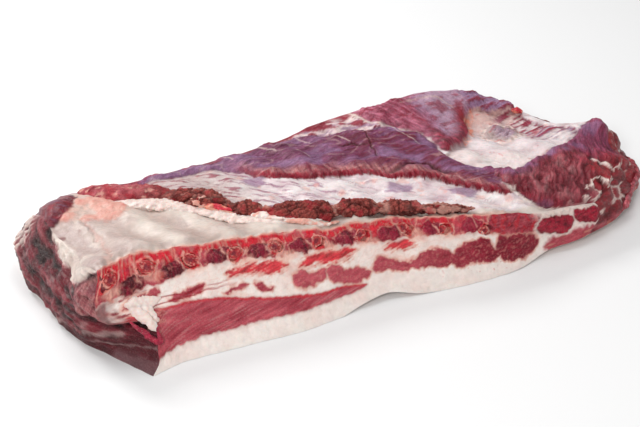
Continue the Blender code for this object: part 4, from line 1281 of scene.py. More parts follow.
    def shoulder(self) -> None:
        """Apron of pleura, pink fat and the crimson knob at the shoulder end."""
        canvas, place = self.canvas, self.base
        x, y, _ = self.wobble(2.4, 9.0)
        lumps = GRAIN.layers(place + 33, 15.0, 2)
        fat = EDGE_FAT.inside(x, y)
        small = GRAIN.layers(place + 8, 5.0, 3)
        canvas.paint(PINK_FAT, 0.85 * ease(-3, 3, fat + 2 * small), 0.35 + 0.4 * lumps + 0.4 * small)
        canvas.paint(BLOOD_RED, 0.25 * ease(-3, 1, fat) * ease(0.4, 0.8, lumps), 0.4)
        canvas.paint(PLEURA, 0.7 * ease(-3, 1, fat) * ease(0.1, -0.4, lumps), 0.4)
        canvas.lift((1.8 * lumps + 0.5 * small) * ease(-3, 3, fat))
        apron = APRON.inside(x, y)
        facets, wall, tone = GRAIN.cells(place, 24.0)
        canvas.paint(PLEURA, 0.8 * ease(-2, 3, apron), 0.3 + 0.4 * tone)
        # Grey over part of the facets: the pleura's own grey, with painted shade on the apron where it hangs
        # over the end.
        canvas.paint(GREY_FASCIA, 0.6 * ease(-2, 3, apron) * ease(0.2, 0.6, tone), 0.25)
        canvas.lift(1.2 * (0.6 - facets) * ease(-2, 4, apron))
        stain = ease(5.0, 1.0, Line(((-262, 8), (-252, 14), (-246, 2))).away(x, y)[0])
        canvas.paint(DULL_ROSE, 0.7 * stain * ease(-0.4, 0.2, lumps), 0.2)
        fold, _ = Line(((-238, 22), (-234, -10), (-238, -40), (-250, -72))).away(x, y)
        canvas.paint(PINK_FAT, 0.35 * ease(3.0, 0.4, fold + lumps), 0.4)
        canvas.lift(-1.0 * ease(4, 0, fold))
        canvas.paint(GREY_FASCIA, 0.5 * ease(-2, 3, apron) * ease(0.0, -0.5, lumps), 0.35)
        knob = SHOULDER_KNOB.inside(x, y)
        streaks = GRAIN.layers(np.stack([self.x + self.y, (self.y - self.x) * 0.3, x * 0], -1), 5.0, 2)
        canvas.paint(CRIMSON, ease(-1.0, 1.5, knob), 0.75 + 0.6 * streaks)
        canvas.paint(LILAC, 0.35 * ease(0, 4, knob) * ease(0.1, 0.6, streaks), 0.1)
        canvas.lift(3.5 * ease(-1, 8, knob))
        behind = ease(84, 92, y) * ease(-170, -200, x)
        canvas.paint(CRIMSON, 0.7 * behind, 0.4 + 0.5 * lumps)


SILVER_LINE = Line(((90, 34), (79, 25), (57, 16), (29, 11), (7, 4), (-26, 6), (-50, 10),
                    (-67, 14), (-82, 18)))
END_APRON = Outline(((40, 90), (27, 56), (6, 52), (-13, 50), (-42, 52), (-60, 60), (-72, 74),
                     (-80, 90)))
CORNER_WALL = Outline(((-92, 38), (-100, 36), (-130, 30), (-130, -6), (-84, -6), (-86, 12)))
CLEFT = Outline(((-76, 40), (-92, 41), (-99, 34), (-92, 25), (-76, 27)))
SINEW_FAN = Outline(((96, 24), (92, 44), (78, 46), (56, 44), (44, 38), (52, 28), (70, 16), (84, 16)))


class EndPart(Enum):
    """Stretches of the band round the two ends and the belly side."""

    SHOULDER = "shoulder end"
    BELLY = "belly side"
    FLANK = "flank end"


@dataclass
class EndsAndBelly(Skin):
    """Band round the shoulder end, the belly side and the flank end."""

    across: int = 150

    def parts(self, u: Array) -> dict[EndPart, Array]:
        """Where each stretch of the band lies, as 0 or 1 for each place."""
        step = u * self.columns
        last = self.columns - self.across
        return {EndPart.SHOULDER: step < self.across, EndPart.FLANK: step > last,
                EndPart.BELLY: (step >= self.across) & (step <= last)}

    def block(self, u: Array, v: Array) -> tuple[Array, Array, Array]:
        """The sheet runs up the shoulder end, along the belly side and back."""
        step = u * self.columns
        back = self.columns - 2 * self.across
        a = np.clip((step - self.across) / back, 0, 1)
        b = np.clip(np.minimum(step, self.columns - step) / self.across, 0, 1)
        return a, b, v

    def facing(self, u: Array, v: Array) -> Array:
        """Outwards on each of the three stretches."""
        parts = self.parts(u)
        return np.stack([1.0 * parts[EndPart.FLANK] - parts[EndPart.SHOULDER],
                         1.0 * parts[EndPart.BELLY], np.zeros_like(u)], -1)

    def sink(self, a: Array, b: Array, c: Array) -> tuple[Array, Array, Array]:
        """The rim turns in from the ends and the belly side."""
        return np.clip(a, 0.06, 0.94), np.clip(b, 0.08, 0.9), np.clip(c, 0.2, 0.5)

    def paint(self) -> None:
        """Each stretch in turn."""
        u = np.broadcast_to(np.linspace(0, 1, self.columns + 1)[:, None], self.x.shape)
        parts = self.parts(u)
        self.belly()
        self.shoulder(1.0 * parts[EndPart.SHOULDER])
        self.flank(1.0 * parts[EndPart.FLANK])
        self.canvas.lift(0.5 * GRAIN.layers(self.base, 6.0, 3))

    def belly(self) -> None:
        """Belly side, cut through back fat, two streaks of lean and the belly wall."""
        canvas, place = self.canvas, self.base
        slow = GRAIN.layers(place, (40, 40, 14), 3)
        fibres = GRAIN.layers(place + 8, (14, 9, 1.8), 3)
        level = self.c + 0.07 * slow
        canvas.comb(np.stack([self.x, self.z], -1), 5.0)
        canvas.paint(WHITE_FAT, 1.0, 0.35 + 0.5 * slow)
        broken = ease(-0.35, 0.1, GRAIN.layers(place + 55, (50, 50, 20), 2) + 0.15)
        canvas.paint(PINK_FAT, 0.7 * band(level, 0.42, 0.12) * broken, 0.4)
        canvas.paint(ROSE_LEAN, band(level, 0.42, 0.075) ** 0.5 * broken, 0.45 + 0.6 * fibres)
        canvas.paint(SINEW, ease(0.60, 0.66, level), 0.4)
        canvas.paint(CRIMSON, ease(0.66, 0.70, level), 0.45 + 0.6 * fibres)
        canvas.paint(PURPLE, 0.7 * ease(0.84, 0.95, level), 0.4 + 0.5 * fibres)
        canvas.lift(0.9 * ease(0.64, 0.74, level) + 0.8 * slow)

    def shoulder(self, here: Array) -> None:
        """Dark wet meat under the apron, with the silverskin low down."""
        canvas, place = self.canvas, self.base
        _, y, z = self.wobble(2.0, 8.0)
        slow = GRAIN.layers(place + 19, 16.0, 3)
        turn = math.radians(8.0)
        along = self.y * math.cos(turn) + self.z * math.sin(turn)
        across = self.z * math.cos(turn) - self.y * math.sin(turn) + 3 * GRAIN.smooth(place, 25.0)
        fibres = GRAIN.layers(np.stack([along, across, along * 0], -1), (16, 2.4, 9), 3)
        bands = GRAIN.layers(np.stack([along, across, along * 0 + 7], -1), (44, 9.0, 9), 3)
        canvas.comb(np.stack([self.y, self.z], -1), 8.0, here)
        # The bands are painted dark in their grooves and pinkish lilac on their crests: painted shade and
        # highlight that follow the relief lifted below, over the wall's own dark crimson.
        canvas.paint(WALL_MEAT, here, 0.45 - 0.8 * bands + 0.4 * fibres)
        canvas.paint(FRINGE, 0.5 * here * ease(0.15, 0.6, bands + 0.3 * fibres), 0.6)
        canvas.paint(GREY_FASCIA, 0.35 * here * ease(0.3, 0.7, GRAIN.layers(place, (9, 9, 5), 3)), 0.3)
        canvas.paint(SHADOW, 0.6 * here * ease(-0.1, -0.55, bands + 0.3 * slow), 0.1)
        canvas.paint(CRIMSON, 0.6 * here * ease(0.1, 0.6, GRAIN.layers(place + 90, 11.0, 3)), 0.6)
        gap, share = SILVER_LINE.away(y, z)
        below = ease(1, -2, z - curve(((-82, 18), (-67, 14), (-50, 10), (-26, 6), (7, 4), (29, 11),
                                       (57, 16), (79, 25), (90, 34)), y))
        canvas.paint(DULL_ROSE, here * below, 0.5 + 0.6 * fibres)
        canvas.paint(GREY_FASCIA, 0.6 * here * ease(2.6, 0.8, gap) * ease(0.0, 0.3, 0.2 + slow), 0.2)
        canvas.lift(here * (1.6 * slow + 2.6 * bands + 0.7 * fibres - 1.2 * ease(4, 0, gap)))
        apron = END_APRON.inside(y, z)
        canvas.paint(SINEW, 0.8 * here * ease(-2.5, 0, apron), 0.4)
        canvas.paint(PLEURA, here * ease(-0.6, 1.0, apron), 0.4 + 0.4 * slow)
        canvas.lift(here * 2.0 * ease(-1, 2, apron))
        striped = here * ease(-1, 2, Outline(((-54, 46), (-66, 62), (-84, 76), (-98, 74), (-98, 46),
                                              (-76, 36), (-62, 34))).inside(y, z))
        canvas.paint(FRINGE, 0.8 * striped, 0.6 + 0.8 * GRAIN.layers(place + 2, (9, 2.6, 12), 3))
        # Corner wall, set back under the rib block: dark crimson meat painted deeper as painted shade, with
        # painted shade in greyish brown over the fat at its foot.
        wall = CORNER_WALL.inside(y, z)
        canvas.paint(WALL_MEAT, here * ease(-1, 2, wall), 0.8 + 0.4 * fibres)
        canvas.paint(CRIMSON, 0.6 * here * ease(-1, 2, wall), 0.9)
        canvas.paint(GREY_FASCIA, 0.5 * here * ease(-1, 2, wall) * ease(9, 3, z), 1.0)
        fan = here * ease(-2, 5, SINEW_FAN.inside(y, z) + 3 * slow)
        turn = math.radians(100.0)
        strands = GRAIN.layers(np.stack([self.y * math.cos(turn) + self.z * math.sin(turn),
                                         self.z * math.cos(turn) - self.y * math.sin(turn),
                                         self.y * 0], -1), (18, 4.0, 9), 3)
        canvas.paint(SINEW, 0.8 * fan * ease(-0.05, 0.35, strands), 0.4 - 0.5 * strands)
        canvas.lift(fan * 2.0 * strands)
        cleft = CLEFT.inside(y, z)
        canvas.paint(SHADOW, 0.9 * here * ease(-0.5, 2.0, cleft), 0.5)
        canvas.lift(here * -5.0 * ease(-0.5, 4, cleft))
        skirt = band(z - (8 + 0.12 * (-60 - y)), 0, 1.4) * ease(-62, -72, y)
        canvas.paint(GREY_FASCIA, 0.5 * here * skirt, 0.4)

    def flank(self, here: Array) -> None:
        """Raw meat of the flank end, torn into lumps between white membranes."""
        canvas, place = self.canvas, self.base
        slow = GRAIN.layers(place + 29, 14.0, 3)
        middle, wall, tone = GRAIN.cells(place, (30.0, 24.0, 16.0))
        fibres = GRAIN.layers(place + 9, (6, 2.4, 9), 3)
        canvas.comb(np.stack([self.y, self.z], -1), 70.0, here)
        canvas.paint(RAW_MEAT, here, 0.25 + 0.5 * tone + 0.4 * fibres)
        canvas.paint(GREY_FASCIA, 0.6 * here * ease(0.2, 0.6, slow) * ease(0.5, 0.2, tone), 0.8)
        canvas.paint(SINEW, 0.85 * here * ease(0.10, 0.02, wall) * ease(-0.2, 0.3, slow + 0.2), 0.3)
        canvas.lift(here * (2.4 * ease(0, 0.4, wall) + 1.0 * slow + 0.5 * fibres - 1.5))
        foot = ease(0.34, 0.18, self.c + 0.08 * slow)
        canvas.paint(ROSE_LEAN, 0.85 * here * foot, 0.4 + 0.4 * fibres)
        canvas.paint(ORANGE_FAT, 0.5 * here * foot * ease(0.1, 0.5, slow), 0.3)


@dataclass
class Underside(Skin):
    """Skinned fat that the slab lies on, with shallow knife strokes."""

    def block(self, u: Array, v: Array) -> tuple[Array, Array, Array]:
        """The sheet runs along the slab and away from the sawn side."""
        return u, v, np.zeros_like(u)

    def sink(self, a: Array, b: Array, c: Array) -> tuple[Array, Array, Array]:
        """The rim turns up into the slab."""
        return np.clip(a, 0.08, 0.92), np.clip(b, 0.10, 0.92), c + 0.15

    def paint(self) -> None:
        """White fat, pinker where the knife went deep."""
        canvas, place = self.canvas, self.base
        strokes = GRAIN.layers(place, (60.0, 12.0, 9.0), 3)
        canvas.comb(np.stack([self.x, self.y], -1), 0.0)
        canvas.paint(WHITE_FAT, 1.0, 0.4 + 0.5 * strokes)
        canvas.paint(PINK_FAT, 0.5 * ease(0.2, 0.7, strokes), 0.3)
        canvas.lift(-0.25 * np.abs(strokes))


# ---------------------------------------------------------------- loose pieces

def on_slab(a: float | Array, b: float | Array, up: float | Array = 0.0) -> Array:
    """Place in mm on the rib side, or `up` mm above it."""
    place = Slab.place(np.asarray(a, float), np.asarray(b, float), np.ones_like(a, float))
    return place + np.stack([0 * place[..., 0], 0 * place[..., 0], up + 0 * place[..., 0]], -1)


def round_piece(name: str, segments: int, rings: int) -> tuple[bmesh.types.BMesh, Array]:
    """Unit ball as a bmesh, with the places of its points."""
    ball = bmesh.new()
    bmesh.ops.create_uvsphere(ball, u_segments=segments, v_segments=rings, radius=1.0)
    return ball, np.array([vert.co for vert in ball.verts])


def set_places(shape: bmesh.types.BMesh, places: Array) -> None:
    """Move a bmesh's points to places in mm."""
    for vert, place in zip(shape.verts, places * MM):
        vert.co = place


def painted_mesh(shape: bmesh.types.BMesh, name: str, canvas: Canvas) -> bpy.types.Mesh:
    """Turn a closed bmesh into a smooth mesh with its canvas stored on it."""
    bmesh.ops.recalc_face_normals(shape, faces=shape.faces)
    if shape.calc_volume(signed=True) < 0:
        bmesh.ops.reverse_faces(shape, faces=shape.faces)
    for face in shape.faces:
        face.smooth = True
    mesh = bpy.data.meshes.new(name)
    shape.to_mesh(mesh)
    shape.free()
    store(mesh, "tissue", canvas.colour)
    store(mesh, "grain", canvas.grain)
    store_thread(mesh, canvas.thread)
    return mesh


def join(shapes: Sequence[tuple[bpy.types.Mesh, str]], name: str) -> bpy.types.Mesh:
    """Join meshes that hold the same attributes into one, by way of one bmesh."""
    whole = bmesh.new()
    for mesh, _ in shapes:
        whole.from_mesh(mesh)
    result = bpy.data.meshes.new(name)
    whole.to_mesh(result)
    whole.free()
    for mesh, _ in shapes:
        bpy.data.meshes.remove(mesh)
    return result


@dataclass
class RibEnds:
    """The ten sawn rib ends: a pale rim of bone round red, spongy marrow."""

    rim: float = 0.86
    thick: float = 3.6
    proud: float = 1.6

    def one(self, number: int, cx: float, cz: float) -> bpy.types.Mesh:
        """Mesh of one rib end."""
        shape, unit = round_piece("rib", 72, 48)
        lean = 0.22 * math.sin(2.4 * number + 1)
        seed = 13.0 * number
        out = np.hypot(unit[:, 0], unit[:, 1])
        turn = np.arctan2(unit[:, 1], unit[:, 0])
        round_off = np.sign(unit[:, 2]) * np.abs(unit[:, 2]) ** 0.5
        flat = np.stack([np.cos(turn) * 3, np.sin(turn) * 3, turn * 0 + seed], -1)
        uneven = 1 + 0.13 * GRAIN.smooth(flat, 1.5) + 0.06 * GRAIN.smooth(flat, 0.5)
        width, height = rib_size(number)
        lx = unit[:, 0] * width * uneven
        lz = unit[:, 1] * height * uneven
        lx = lx + lean * lz
        spot = np.stack([lx, lz, lx * 0 + seed], -1)
        sponge = GRAIN.layers(spot, 2.2, 3)
        marrow = ease(self.rim + 0.10, self.rim - 0.08, out + 0.14 * GRAIN.smooth(spot + 9, 4.0))
        front = (unit[:, 2] > 0) * 1.0
        depth = round_off * self.thick + front * (0.6 * band(out, 0.82, 0.2) + 0.25 * sponge
                                                  - marrow * (0.9 + 0.7 * sponge))
        a = np.interp(cx, *self.ladder(0.9))
        foot = Slab.place(a, 0.0, 0.2)
        head = Slab.place(a, 0.0, 0.95)
        rise = (head - foot) / np.linalg.norm(head - foot)
        level = (cz - foot[2]) / (head[2] - foot[2])
        middle = foot + (head - foot) * level
        along = Slab.place(a + 0.01, 0.0, 0.85) - Slab.place(a - 0.01, 0.0, 0.85)
        along = along / np.linalg.norm(along)
        out_way = np.cross(along, rise)
        out_way = out_way * (-1 if out_way[1] > 0 else 1)
        middle = middle + unevenness(middle, a, np.array(0.0), np.array(0.2 + 0.75 * level))
        middle = middle + out_way * (self.proud - self.thick)
        places = (middle + lx[:, None] * along + lz[:, None] * rise
                  + depth[:, None] * out_way)
        set_places(shape, places)
        canvas = Canvas(out.shape)
        patches = GRAIN.layers(spot + 30, 5.0, 2)
        canvas.paint(BONE_RIM, 1.0, 0.45 + 0.7 * GRAIN.layers(spot, 2.5, 3))
        canvas.paint(BLOOD_RED, 0.85 * ease(-0.15, 0.35, patches), 0.4)
        canvas.paint(MARROW, 0.9 * marrow * front, 0.3 + 0.6 * sponge + 0.5 * ease(0.6, 0.1, out))
        canvas.paint(BONE_RIM, 0.6 * marrow * front * ease(0.15, 0.6, GRAIN.smooth(spot + 4, 2.0)
                                                            + 0.5 * out - 0.25), 0.5)
        canvas.paint(LOBE_DARK, 0.7 * front * ease(0.5, 0.15, out + 0.2 * patches), 0.7)
        canvas.comb(np.stack([lx, lz], -1), 0.0)
        return painted_mesh(shape, "rib_end", canvas)

    @staticmethod
    def ladder(c: float) -> tuple[Array, Array]:
        """Places along X on the sawn side, with their share of the length."""
        a = np.linspace(0, 1, 400)
        return Slab.place(a, np.zeros_like(a), np.full_like(a, c))[:, 0], a

    def build(self) -> bpy.types.Object:
        """Make all ten in one piece."""
        ends = [(self.one(k, cx, cz), "") for k, (cx, cz) in enumerate(rib_centres())]
        mesh = join(ends, "rib_ends")
        names = [f"rib_{k + 1:02d}" for k in range(len(ends))]
        return finish_piece(mesh, "rib_ends", BONE_FLESH, names)


class Side(Enum):
    """A side of the slab, with the two axes that its places are read by."""

    TOP = (0, 1)
    SAWN = (0, 2)
    SHOULDER = (1, 2)
    FLANK = (1, 2, 1)

    def sheet(self) -> Array:
        """A fine grid of places on this side, in mm."""
        u, v = (grid.ravel() for grid in np.meshgrid(np.linspace(0, 1, 260), np.linspace(0, 1, 130)))
        still = np.zeros_like(u)
        a, b, c = {Side.TOP: (u, v, still + 1), Side.SAWN: (u, still, v),
                   Side.SHOULDER: (still, u, v), Side.FLANK: (still + 1, u, v)}[self]
        base = Slab.place(a, b, c)
        return base + unevenness(base, a, b, c)

    def way(self) -> Array:
        """Rough direction that this side faces."""
        return {Side.TOP: np.array((0.0, 0.0, 1.0)), Side.SAWN: np.array((0.0, -0.9, 0.44)),
                Side.SHOULDER: np.array((-0.9, 0.0, 0.44)),
                Side.FLANK: np.array((0.9, -0.1, 0.42))}[self]

    def on(self, places: Knots, up: float) -> list[tuple[float, float, float]]:
        """Places `up` mm above this side, from places read by its two axes."""
        surface = self.sheet()
        first, second = self.value[:2]
        found = []
        for x, y in places:
            nearest = np.argmin((surface[:, first] - x) ** 2 + (surface[:, second] - y) ** 2)
            found.append(tuple(surface[nearest] + self.way() * up))
        return found


def over(places: Knots, up: float) -> list[tuple[float, float, float]]:
    """Places in mm over the rib side, `up` mm above it, from places in plan."""
    return Side.TOP.on(places, up)


@dataclass
class Strand:
    """A tube with uneven sides along a smooth line: a sinew, a fold or a lump.

    places: Places in mm, radii: share of the length and radius in mm, flat: how
    much wider than high it is, tissue: its tones, rough: unevenness of its sides.
    """

    places: Sequence[Sequence[float]]
    radii: Knots
    tissue: Tissue
    flat: float = 1.0
    rough: float = 0.25
    cell: float = 0.8
    second: Tissue | None = None
    side: Side = Side.TOP

    def route(self) -> tuple[Array, float]:
        """Function values of a smooth line through the places, and its length."""
        knots = np.asarray(self.places, float)
        grown = np.concatenate([2 * knots[:1] - knots[1:2], knots, 2 * knots[-1:] - knots[-2:-1]])
        line = []
        for i in range(len(knots) - 1):
            before, here, there, after = grown[i:i + 4]
            for t in np.linspace(0, 1, 24, endpoint=False):
                line.append(0.5 * (2 * here + (there - before) * t
                                   + (2 * before - 5 * here + 4 * there - after) * t**2
                                   + (3 * here - before - 3 * there + after) * t**3))
        line.append(knots[-1])
        line = np.array(line)
        run = np.concatenate([[0], np.cumsum(np.linalg.norm(np.diff(line, axis=0), axis=1))])
        even = np.linspace(0, run[-1], max(int(run[-1] / self.cell), 6) + 1)
        return np.stack([np.interp(even, run, line[:, k]) for k in range(3)], -1), run[-1]

    def tube(self) -> tuple[bmesh.types.BMesh, Array, Array, Array]:
        """Closed tube along the line.

        Returns:
            The bmesh, and its points' places, shares of the length and angles.
        """
        line, _ = self.route()
        count = len(line) - 1
        widest = max(radius for _, radius in self.radii)
        sides = int(np.clip(2 * math.pi * widest * self.flat**0.5 / self.cell, 8, 90))
        sheet = bmesh.new()
        bmesh.ops.create_grid(sheet, x_segments=count, y_segments=sides, size=0.5)
        flat = np.array([vert.co for vert in sheet.verts])
        step = np.rint((flat[:, 0] + 0.5) * count).astype(int)
        angle = 2 * math.pi * (flat[:, 1] + 0.5)
        share = step / count
        ahead = np.gradient(line, axis=0)
        ahead /= np.linalg.norm(ahead, axis=1)[:, None]
        side = np.cross(ahead, self.side.way())
        side /= np.linalg.norm(side, axis=1)[:, None]
        up = np.cross(side, ahead)
        radius = curve(self.radii, share) * np.sqrt(np.clip(1 - (2 * share - 1) ** 24, 0, 1))
        cosine, sine = np.cos(angle), np.sin(angle)
        offset = side[step] * (cosine * self.flat)[:, None] + up[step] * sine[:, None]
        places = line[step] + offset * radius[:, None]
        bump = GRAIN.layers(places, 5.0, 3) * self.rough
        places = places + offset * (radius * bump)[:, None]
        return sheet, places, share, angle

    def mesh(self) -> bpy.types.Mesh:
        """The strand as a painted mesh."""
        sheet, places, share, angle = self.tube()
        canvas = Canvas(share.shape)
        tone = 0.4 + 0.5 * GRAIN.layers(places, 3.0, 3)
        canvas.paint(self.tissue, 1.0, tone)
        if self.second:
            canvas.paint(self.second, ease(0.0, 0.45, GRAIN.layers(places + 44, 6.0, 3)), tone)
        canvas.comb(np.stack([share * len(self.places) * 10, angle * 2], -1), 0.0)
        return self.close(sheet, places, canvas)

    @staticmethod
    def close(sheet: bmesh.types.BMesh, places: Array, canvas: Canvas) -> bpy.types.Mesh:
        """Close the tube's seam and ends, and store what is painted on it."""
        set_places(sheet, places)
        keep = sheet.verts.layers.int.new("origin")
        for number, vert in enumerate(sheet.verts):
            vert[keep] = number
        bmesh.ops.remove_doubles(sheet, verts=sheet.verts, dist=1e-6)
        bmesh.ops.dissolve_degenerate(sheet, edges=sheet.edges, dist=1e-7)
        order = np.array([vert[keep] for vert in sheet.verts])
        sheet.verts.layers.int.remove(sheet.verts.layers.int["origin"])
        for name in ("colour", "grain", "thread", "relief"):
            setattr(canvas, name, getattr(canvas, name)[order])
        return painted_mesh(sheet, "strand", canvas)


@dataclass
class Diaphragm(Strand):
    """The crumbly brown-red strip left of the diaphragm, nine lumps in a row."""

    lumps: int = 9

    def mesh(self) -> bpy.types.Mesh:
        """The strip as a painted mesh."""
        sheet, places, share, angle = self.tube()
        _, wall, tone = GRAIN.cells(places, 3.4)
        coarse = GRAIN.layers(places, 9.0, 3)
        fine = GRAIN.layers(places + 70, 2.4, 2)
        crumbly = ease(0.12, 0.30, share)
        line, _ = self.route()
        step = np.rint(share * (len(line) - 1)).astype(int)
        away = places - line[step]
        away /= np.maximum(np.linalg.norm(away, axis=1), 1e-6)[:, None]
        ends = ease(0, 0.02, share) * ease(1, 0.98, share)
        _, split, _ = GRAIN.cells(places + 5, 13.0)
        relief = (crumbly * (0.9 * ease(0, 0.5, wall) - 0.5 - 1.4 * ease(0.16, 0.0, split))
                  + 1.3 * coarse + 0.45 * fine)
        places = places + away * (relief * ends)[:, None]
        canvas = Canvas(share.shape)
        canvas.paint(CRUMB, 1.0, 0.25 + 0.8 * coarse + 0.5 * (tone - 0.5) * crumbly + 0.5 * fine)
        # Painted shade in the crevices between the crumbs and between the lumps, where the relief sinks.
        canvas.paint(CRUMB_SHADE, 0.8 * crumbly * ease(0.15, 0.02, split), 0.5)
        canvas.paint(CRUMB_SHADE, 0.85 * crumbly * ease(0.2, 0.0, wall), 0.3)
        canvas.paint(ROSE_LEAN, 0.7 * (1 - crumbly), 0.5 + 0.8 * coarse)
        thick = curve(self.radii, share)
        neck = ease(6.4, 5.0, thick) * ease(0.2, 0.3, share)
        canvas.paint(PINK_FAT, 0.55 * neck * ease(-0.2, 0.3, coarse), 0.4)
        # Painted shade on the strip's lower side, where it stands over the pleura.
        lower = np.minimum(np.sin(angle), 1.0) + 0.25 * coarse
        canvas.paint(CRUMB_SHADE, 0.9 * ease(0.25, -0.45, lower), 0.6)
        pale = ease(0.25, 0.6, GRAIN.layers(places + 12, (11, 7, 5), 3))
        canvas.paint(PINK_FAT, 0.7 * pale * ease(0.5, 0.1, share), 0.3)
        canvas.paint(BLOOD_RED, 0.5 * ease(0.15, 0.6, GRAIN.layers(places + 50, 10.0, 2)), 0.7)
        canvas.comb(np.stack([share * 400, angle * 6], -1), 0.0)
        return self.close(sheet, places, canvas)


STRIP_PLAN = ((-224, 86), (-214, 72), (-203, 56), (-190, 47), (-176, 40), (-158, 26), (-146, 15),
              (-134, 4), (-120, -12), (-108, -23), (-95, -31), (-78, -39), (-62, -45), (-47, -49),
              (-33, -51), (-20, -53), (-6, -57), (10, -62), (28, -68), (46, -72), (74, -79))
STRIP_SIZES = ((0, 3.0), (.05, 6.6), (.12, 8.0), (.20, 7.4), (.25, 5.6), (.30, 7.8), (.35, 9.2),
               (.40, 5.0), (.45, 8.4), (.49, 5.0), (.53, 8.6), (.58, 9.4), (.63, 8.6), (.655, 4.6),
               (.69, 8.2), (.735, 7.6), (.76, 3.6), (.79, 6.2), (.84, 6.0), (.88, 3.4), (.91, 4.6),
               (.96, 4.0), (1, 1.5))


@dataclass
class LooseTissue:
    """Strips, flaps and sinews that lie on the slab."""

    strands: list[Strand] = field(default_factory=list)

    def build(self, name: str, finish: Flesh, slot: str, nodes: Sequence[str] = ()) -> bpy.types.Object:
        """Make them as one piece."""
        meshes = [(strand.mesh(), "") for strand in self.strands]
        return finish_piece(join(meshes, name), name, finish, nodes)


def diaphragm() -> bpy.types.Object:
    """The diaphragm strip along the pleura."""
    strip = Diaphragm(over(STRIP_PLAN, 2.0), STRIP_SIZES, CRUMB, flat=1.5, rough=0.1, cell=0.85)
    return LooseTissue([strip]).build("diaphragm", CRUMBLY_FLESH, "diaphragm", ["diaphragm_strip"])


def fat_flaps() -> bpy.types.Object:
    """Torn fat flaps on the pleura and at the front corner."""
    pieces = [
        Strand(over(((-206, 40), (-192, 28), (-174, 18), (-158, 6), (-142, -8), (-128, -22), (-112, -36),
                     (-94, -46), (-76, -54), (-60, -59)), 0.6),
               ((0, 0.8), (.1, 2.4), (.25, 3.0), (.4, 2.0), (.55, 3.0), (.75, 2.0), (1, 0.6)), SINEW,
               3.0, 0.3),
        Strand(over(((-152, 12), (-144, 6), (-136, -6), (-124, -22)), 3.0),
               ((0, 2.0), (.25, 5.0), (.6, 3.4), (1, 1.2)), PINK_FAT, 1.3, 0.6, second=ORANGE_FAT),
        Strand(over(((-143, 0), (-134, -9), (-124, -20)), 5.0),
               ((0, 1.0), (.5, 2.6), (1, 1.0)), BLOOD_RED, 1.4, 0.6, second=ORANGE_FAT),
        Strand(over(((-120, -20), (-110, -28), (-100, -40), (-90, -50)), 2.5),
               ((0, 1.0), (.4, 3.2), (1, 1.0)), WHITE_FAT, 1.6, 0.5, second=PINK_FAT),
        Strand(over(((-96, -46), (-80, -56), (-62, -62), (-46, -63)), 0.5),
               ((0, 1.0), (.5, 2.0), (1, 0.8)), PINK_FAT, 1.6, 0.5, second=SINEW),
    ]
    corner = (
        (((-240, 45), (-232, 43), (-222, 42), (-208, 43)), ((0, 0.8), (.3, 2.8), (.8, 1.8), (1, 0.6)), 0.5),
        (((-236, 43), (-231, 38), (-226, 33), (-223, 27)), ((0, 1.2), (.3, 2.6), (.8, 1.6), (1, 0.4)), 1.2),
        (((-228, 42), (-223, 37), (-219, 33), (-215, 31)), ((0, 1.2), (.4, 2.6), (1, 0.5)), 0.8))
    pieces += [Strand(Side.SAWN.on(places, up), radii, WHITE_FAT, 1.9, 0.4, side=Side.SAWN)
               for places, radii, up in corner]
    pieces.append(Strand(Side.SAWN.on(((-240, 27), (-233, 24), (-226, 27), (-222, 32)), 1.5),
                         ((0, 0.8), (.4, 2.0), (1, 1.0)), CRIMSON, 1.2, 0.5, side=Side.SAWN))
    return LooseTissue(pieces).build("fat_flaps", FLAP_FLESH, "seam_fat")


def membranes() -> bpy.types.Object:
    """The curled rim of the flank end and the red knob behind the hollow."""
    rim = ((0, 0.8), (.2, 2.6), (.5, 1.8), (.8, 2.4), (1, 0.8))
    pieces = [Strand(Side.FLANK.on(((-8, 22), (-23, 21), (-38, 19), (-51, 17), (-71, 14), (-80, 12)), 0.6),
                     rim, RAW_MEAT, 1.6, 0.4, second=ROSE_LEAN, side=Side.FLANK)]
    pieces.append(Strand(over(((203, 76), (209, 74), (214, 70)), 2.0), ((0, 1.0), (.5, 3.2), (1, 1.0)),
                         BLOOD_RED, 1.1, 0.4, second=ORANGE_FAT))
    return LooseTissue(pieces).build("membranes", TORN_FLESH, "flank_muscle")


# ---------------------------------------------------------------- studio

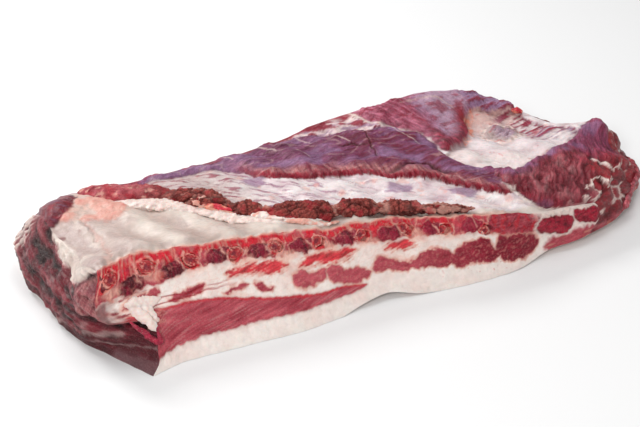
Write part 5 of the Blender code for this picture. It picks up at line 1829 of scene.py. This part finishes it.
@dataclass(frozen=True)
class Studio:
    """Pale floor, soft light and the camera."""

    lens: float = 81.0
    distance: float = 1.25
    turn: float = -25.0
    rise: float = 30.0
    target: tuple[float, float, float] = (-0.0335, 0.0028, 0.030)

    def floor(self) -> None:
        """Plain pale floor under the slab."""
        shape = bmesh.new()
        bmesh.ops.create_grid(shape, x_segments=1, y_segments=1, size=6.0)
        bmesh.ops.translate(shape, verts=shape.verts, vec=(0, 0, CAD_BOX[0].z - 0.0002))
        mesh = bpy.data.meshes.new("floor")
        shape.to_mesh(mesh)
        shape.free()
        finish = bpy.data.materials.new("matt white floor")
        finish.use_nodes = True
        shader = finish.node_tree.nodes["Principled BSDF"]
        shader.inputs["Base Color"].default_value = (0.86, 0.86, 0.86, 1)
        shader.inputs["Roughness"].default_value = 0.9
        mesh.materials.append(finish)
        ground = bpy.data.objects.new("floor", mesh)
        bpy.context.scene.collection.objects.link(ground)

    def light(self, name: str, place: Sequence[float], size: float, watts: float) -> None:
        """Soft square light aimed at the slab."""
        lamp = bpy.data.lights.new(name, "AREA")
        lamp.size = size
        lamp.energy = watts
        thing = bpy.data.objects.new(name, lamp)
        thing.location = place
        aim = Vector(self.target) - Vector(place)
        thing.rotation_euler = aim.to_track_quat("-Z", "Y").to_euler()
        bpy.context.scene.collection.objects.link(thing)

    def build(self) -> None:
        """Set up floor, lights, surroundings and camera."""
        scene = bpy.context.scene
        scene.view_settings.view_transform = "Standard"
        self.floor()
        self.light("top light", (0.1, 0.2, 1.6), 1.2, 9.0)
        self.light("back light", (-0.6, 1.15, 1.0), 0.45, 14.0)
        self.light("side light", (-1.2, 0.8, 0.35), 0.25, 2.0)
        self.light("key light", (-0.9, -1.1, 0.95), 0.3, 10.0)
        world = bpy.data.worlds.new("white room")
        world.use_nodes = True
        world.node_tree.nodes["Background"].inputs["Color"].default_value = (1, 1, 1, 1)
        world.node_tree.nodes["Background"].inputs["Strength"].default_value = 0.40
        scene.world = world
        camera = bpy.data.cameras.new("camera")
        camera.lens = self.lens
        camera.sensor_width = 36.0
        eye = bpy.data.objects.new("camera", camera)
        turn, rise = math.radians(self.turn), math.radians(self.rise)
        back = Vector((math.sin(turn) * math.cos(rise), -math.cos(turn) * math.cos(rise),
                       math.sin(rise)))
        eye.location = Vector(self.target) + back * self.distance
        eye.rotation_euler = (-back).to_track_quat("-Z", "Y").to_euler()
        scene.collection.objects.link(eye)
        scene.camera = eye


def main() -> None:
    """Build every piece of the slab and its studio."""
    logging.basicConfig(level=logging.INFO, format="%(name)s: %(message)s")
    Studio().build()
    SawnSide("sawn_side", SAWN_FLESH, "seam_fat", ("seam_fat", "lean_sheet", "lean_streak", "rib_bed"),
             columns=560, rows=100, outward=(0, -1, 0.3)).build()
    RibSide("rib_side", RIB_SIDE_FLESH, "belly_wall_muscle", ("belly_wall", "flank_muscle"),
            columns=560, rows=150, outward=(0, 0, 1)).build()
    EndsAndBelly("ends_and_belly", TORN_FLESH, "rose_lean", (), columns=860, rows=100,
                 outward=(0, 0, 0), soft_rim=3.0).build()
    Underside("underside", FAT_SIDE, "back_fat", ("back_fat",), columns=140, rows=50,
              outward=(0, 0, -1)).build()
    RibEnds().build()
    diaphragm()
    fat_flaps()
    membranes()


if __name__ == "__main__":
    main()
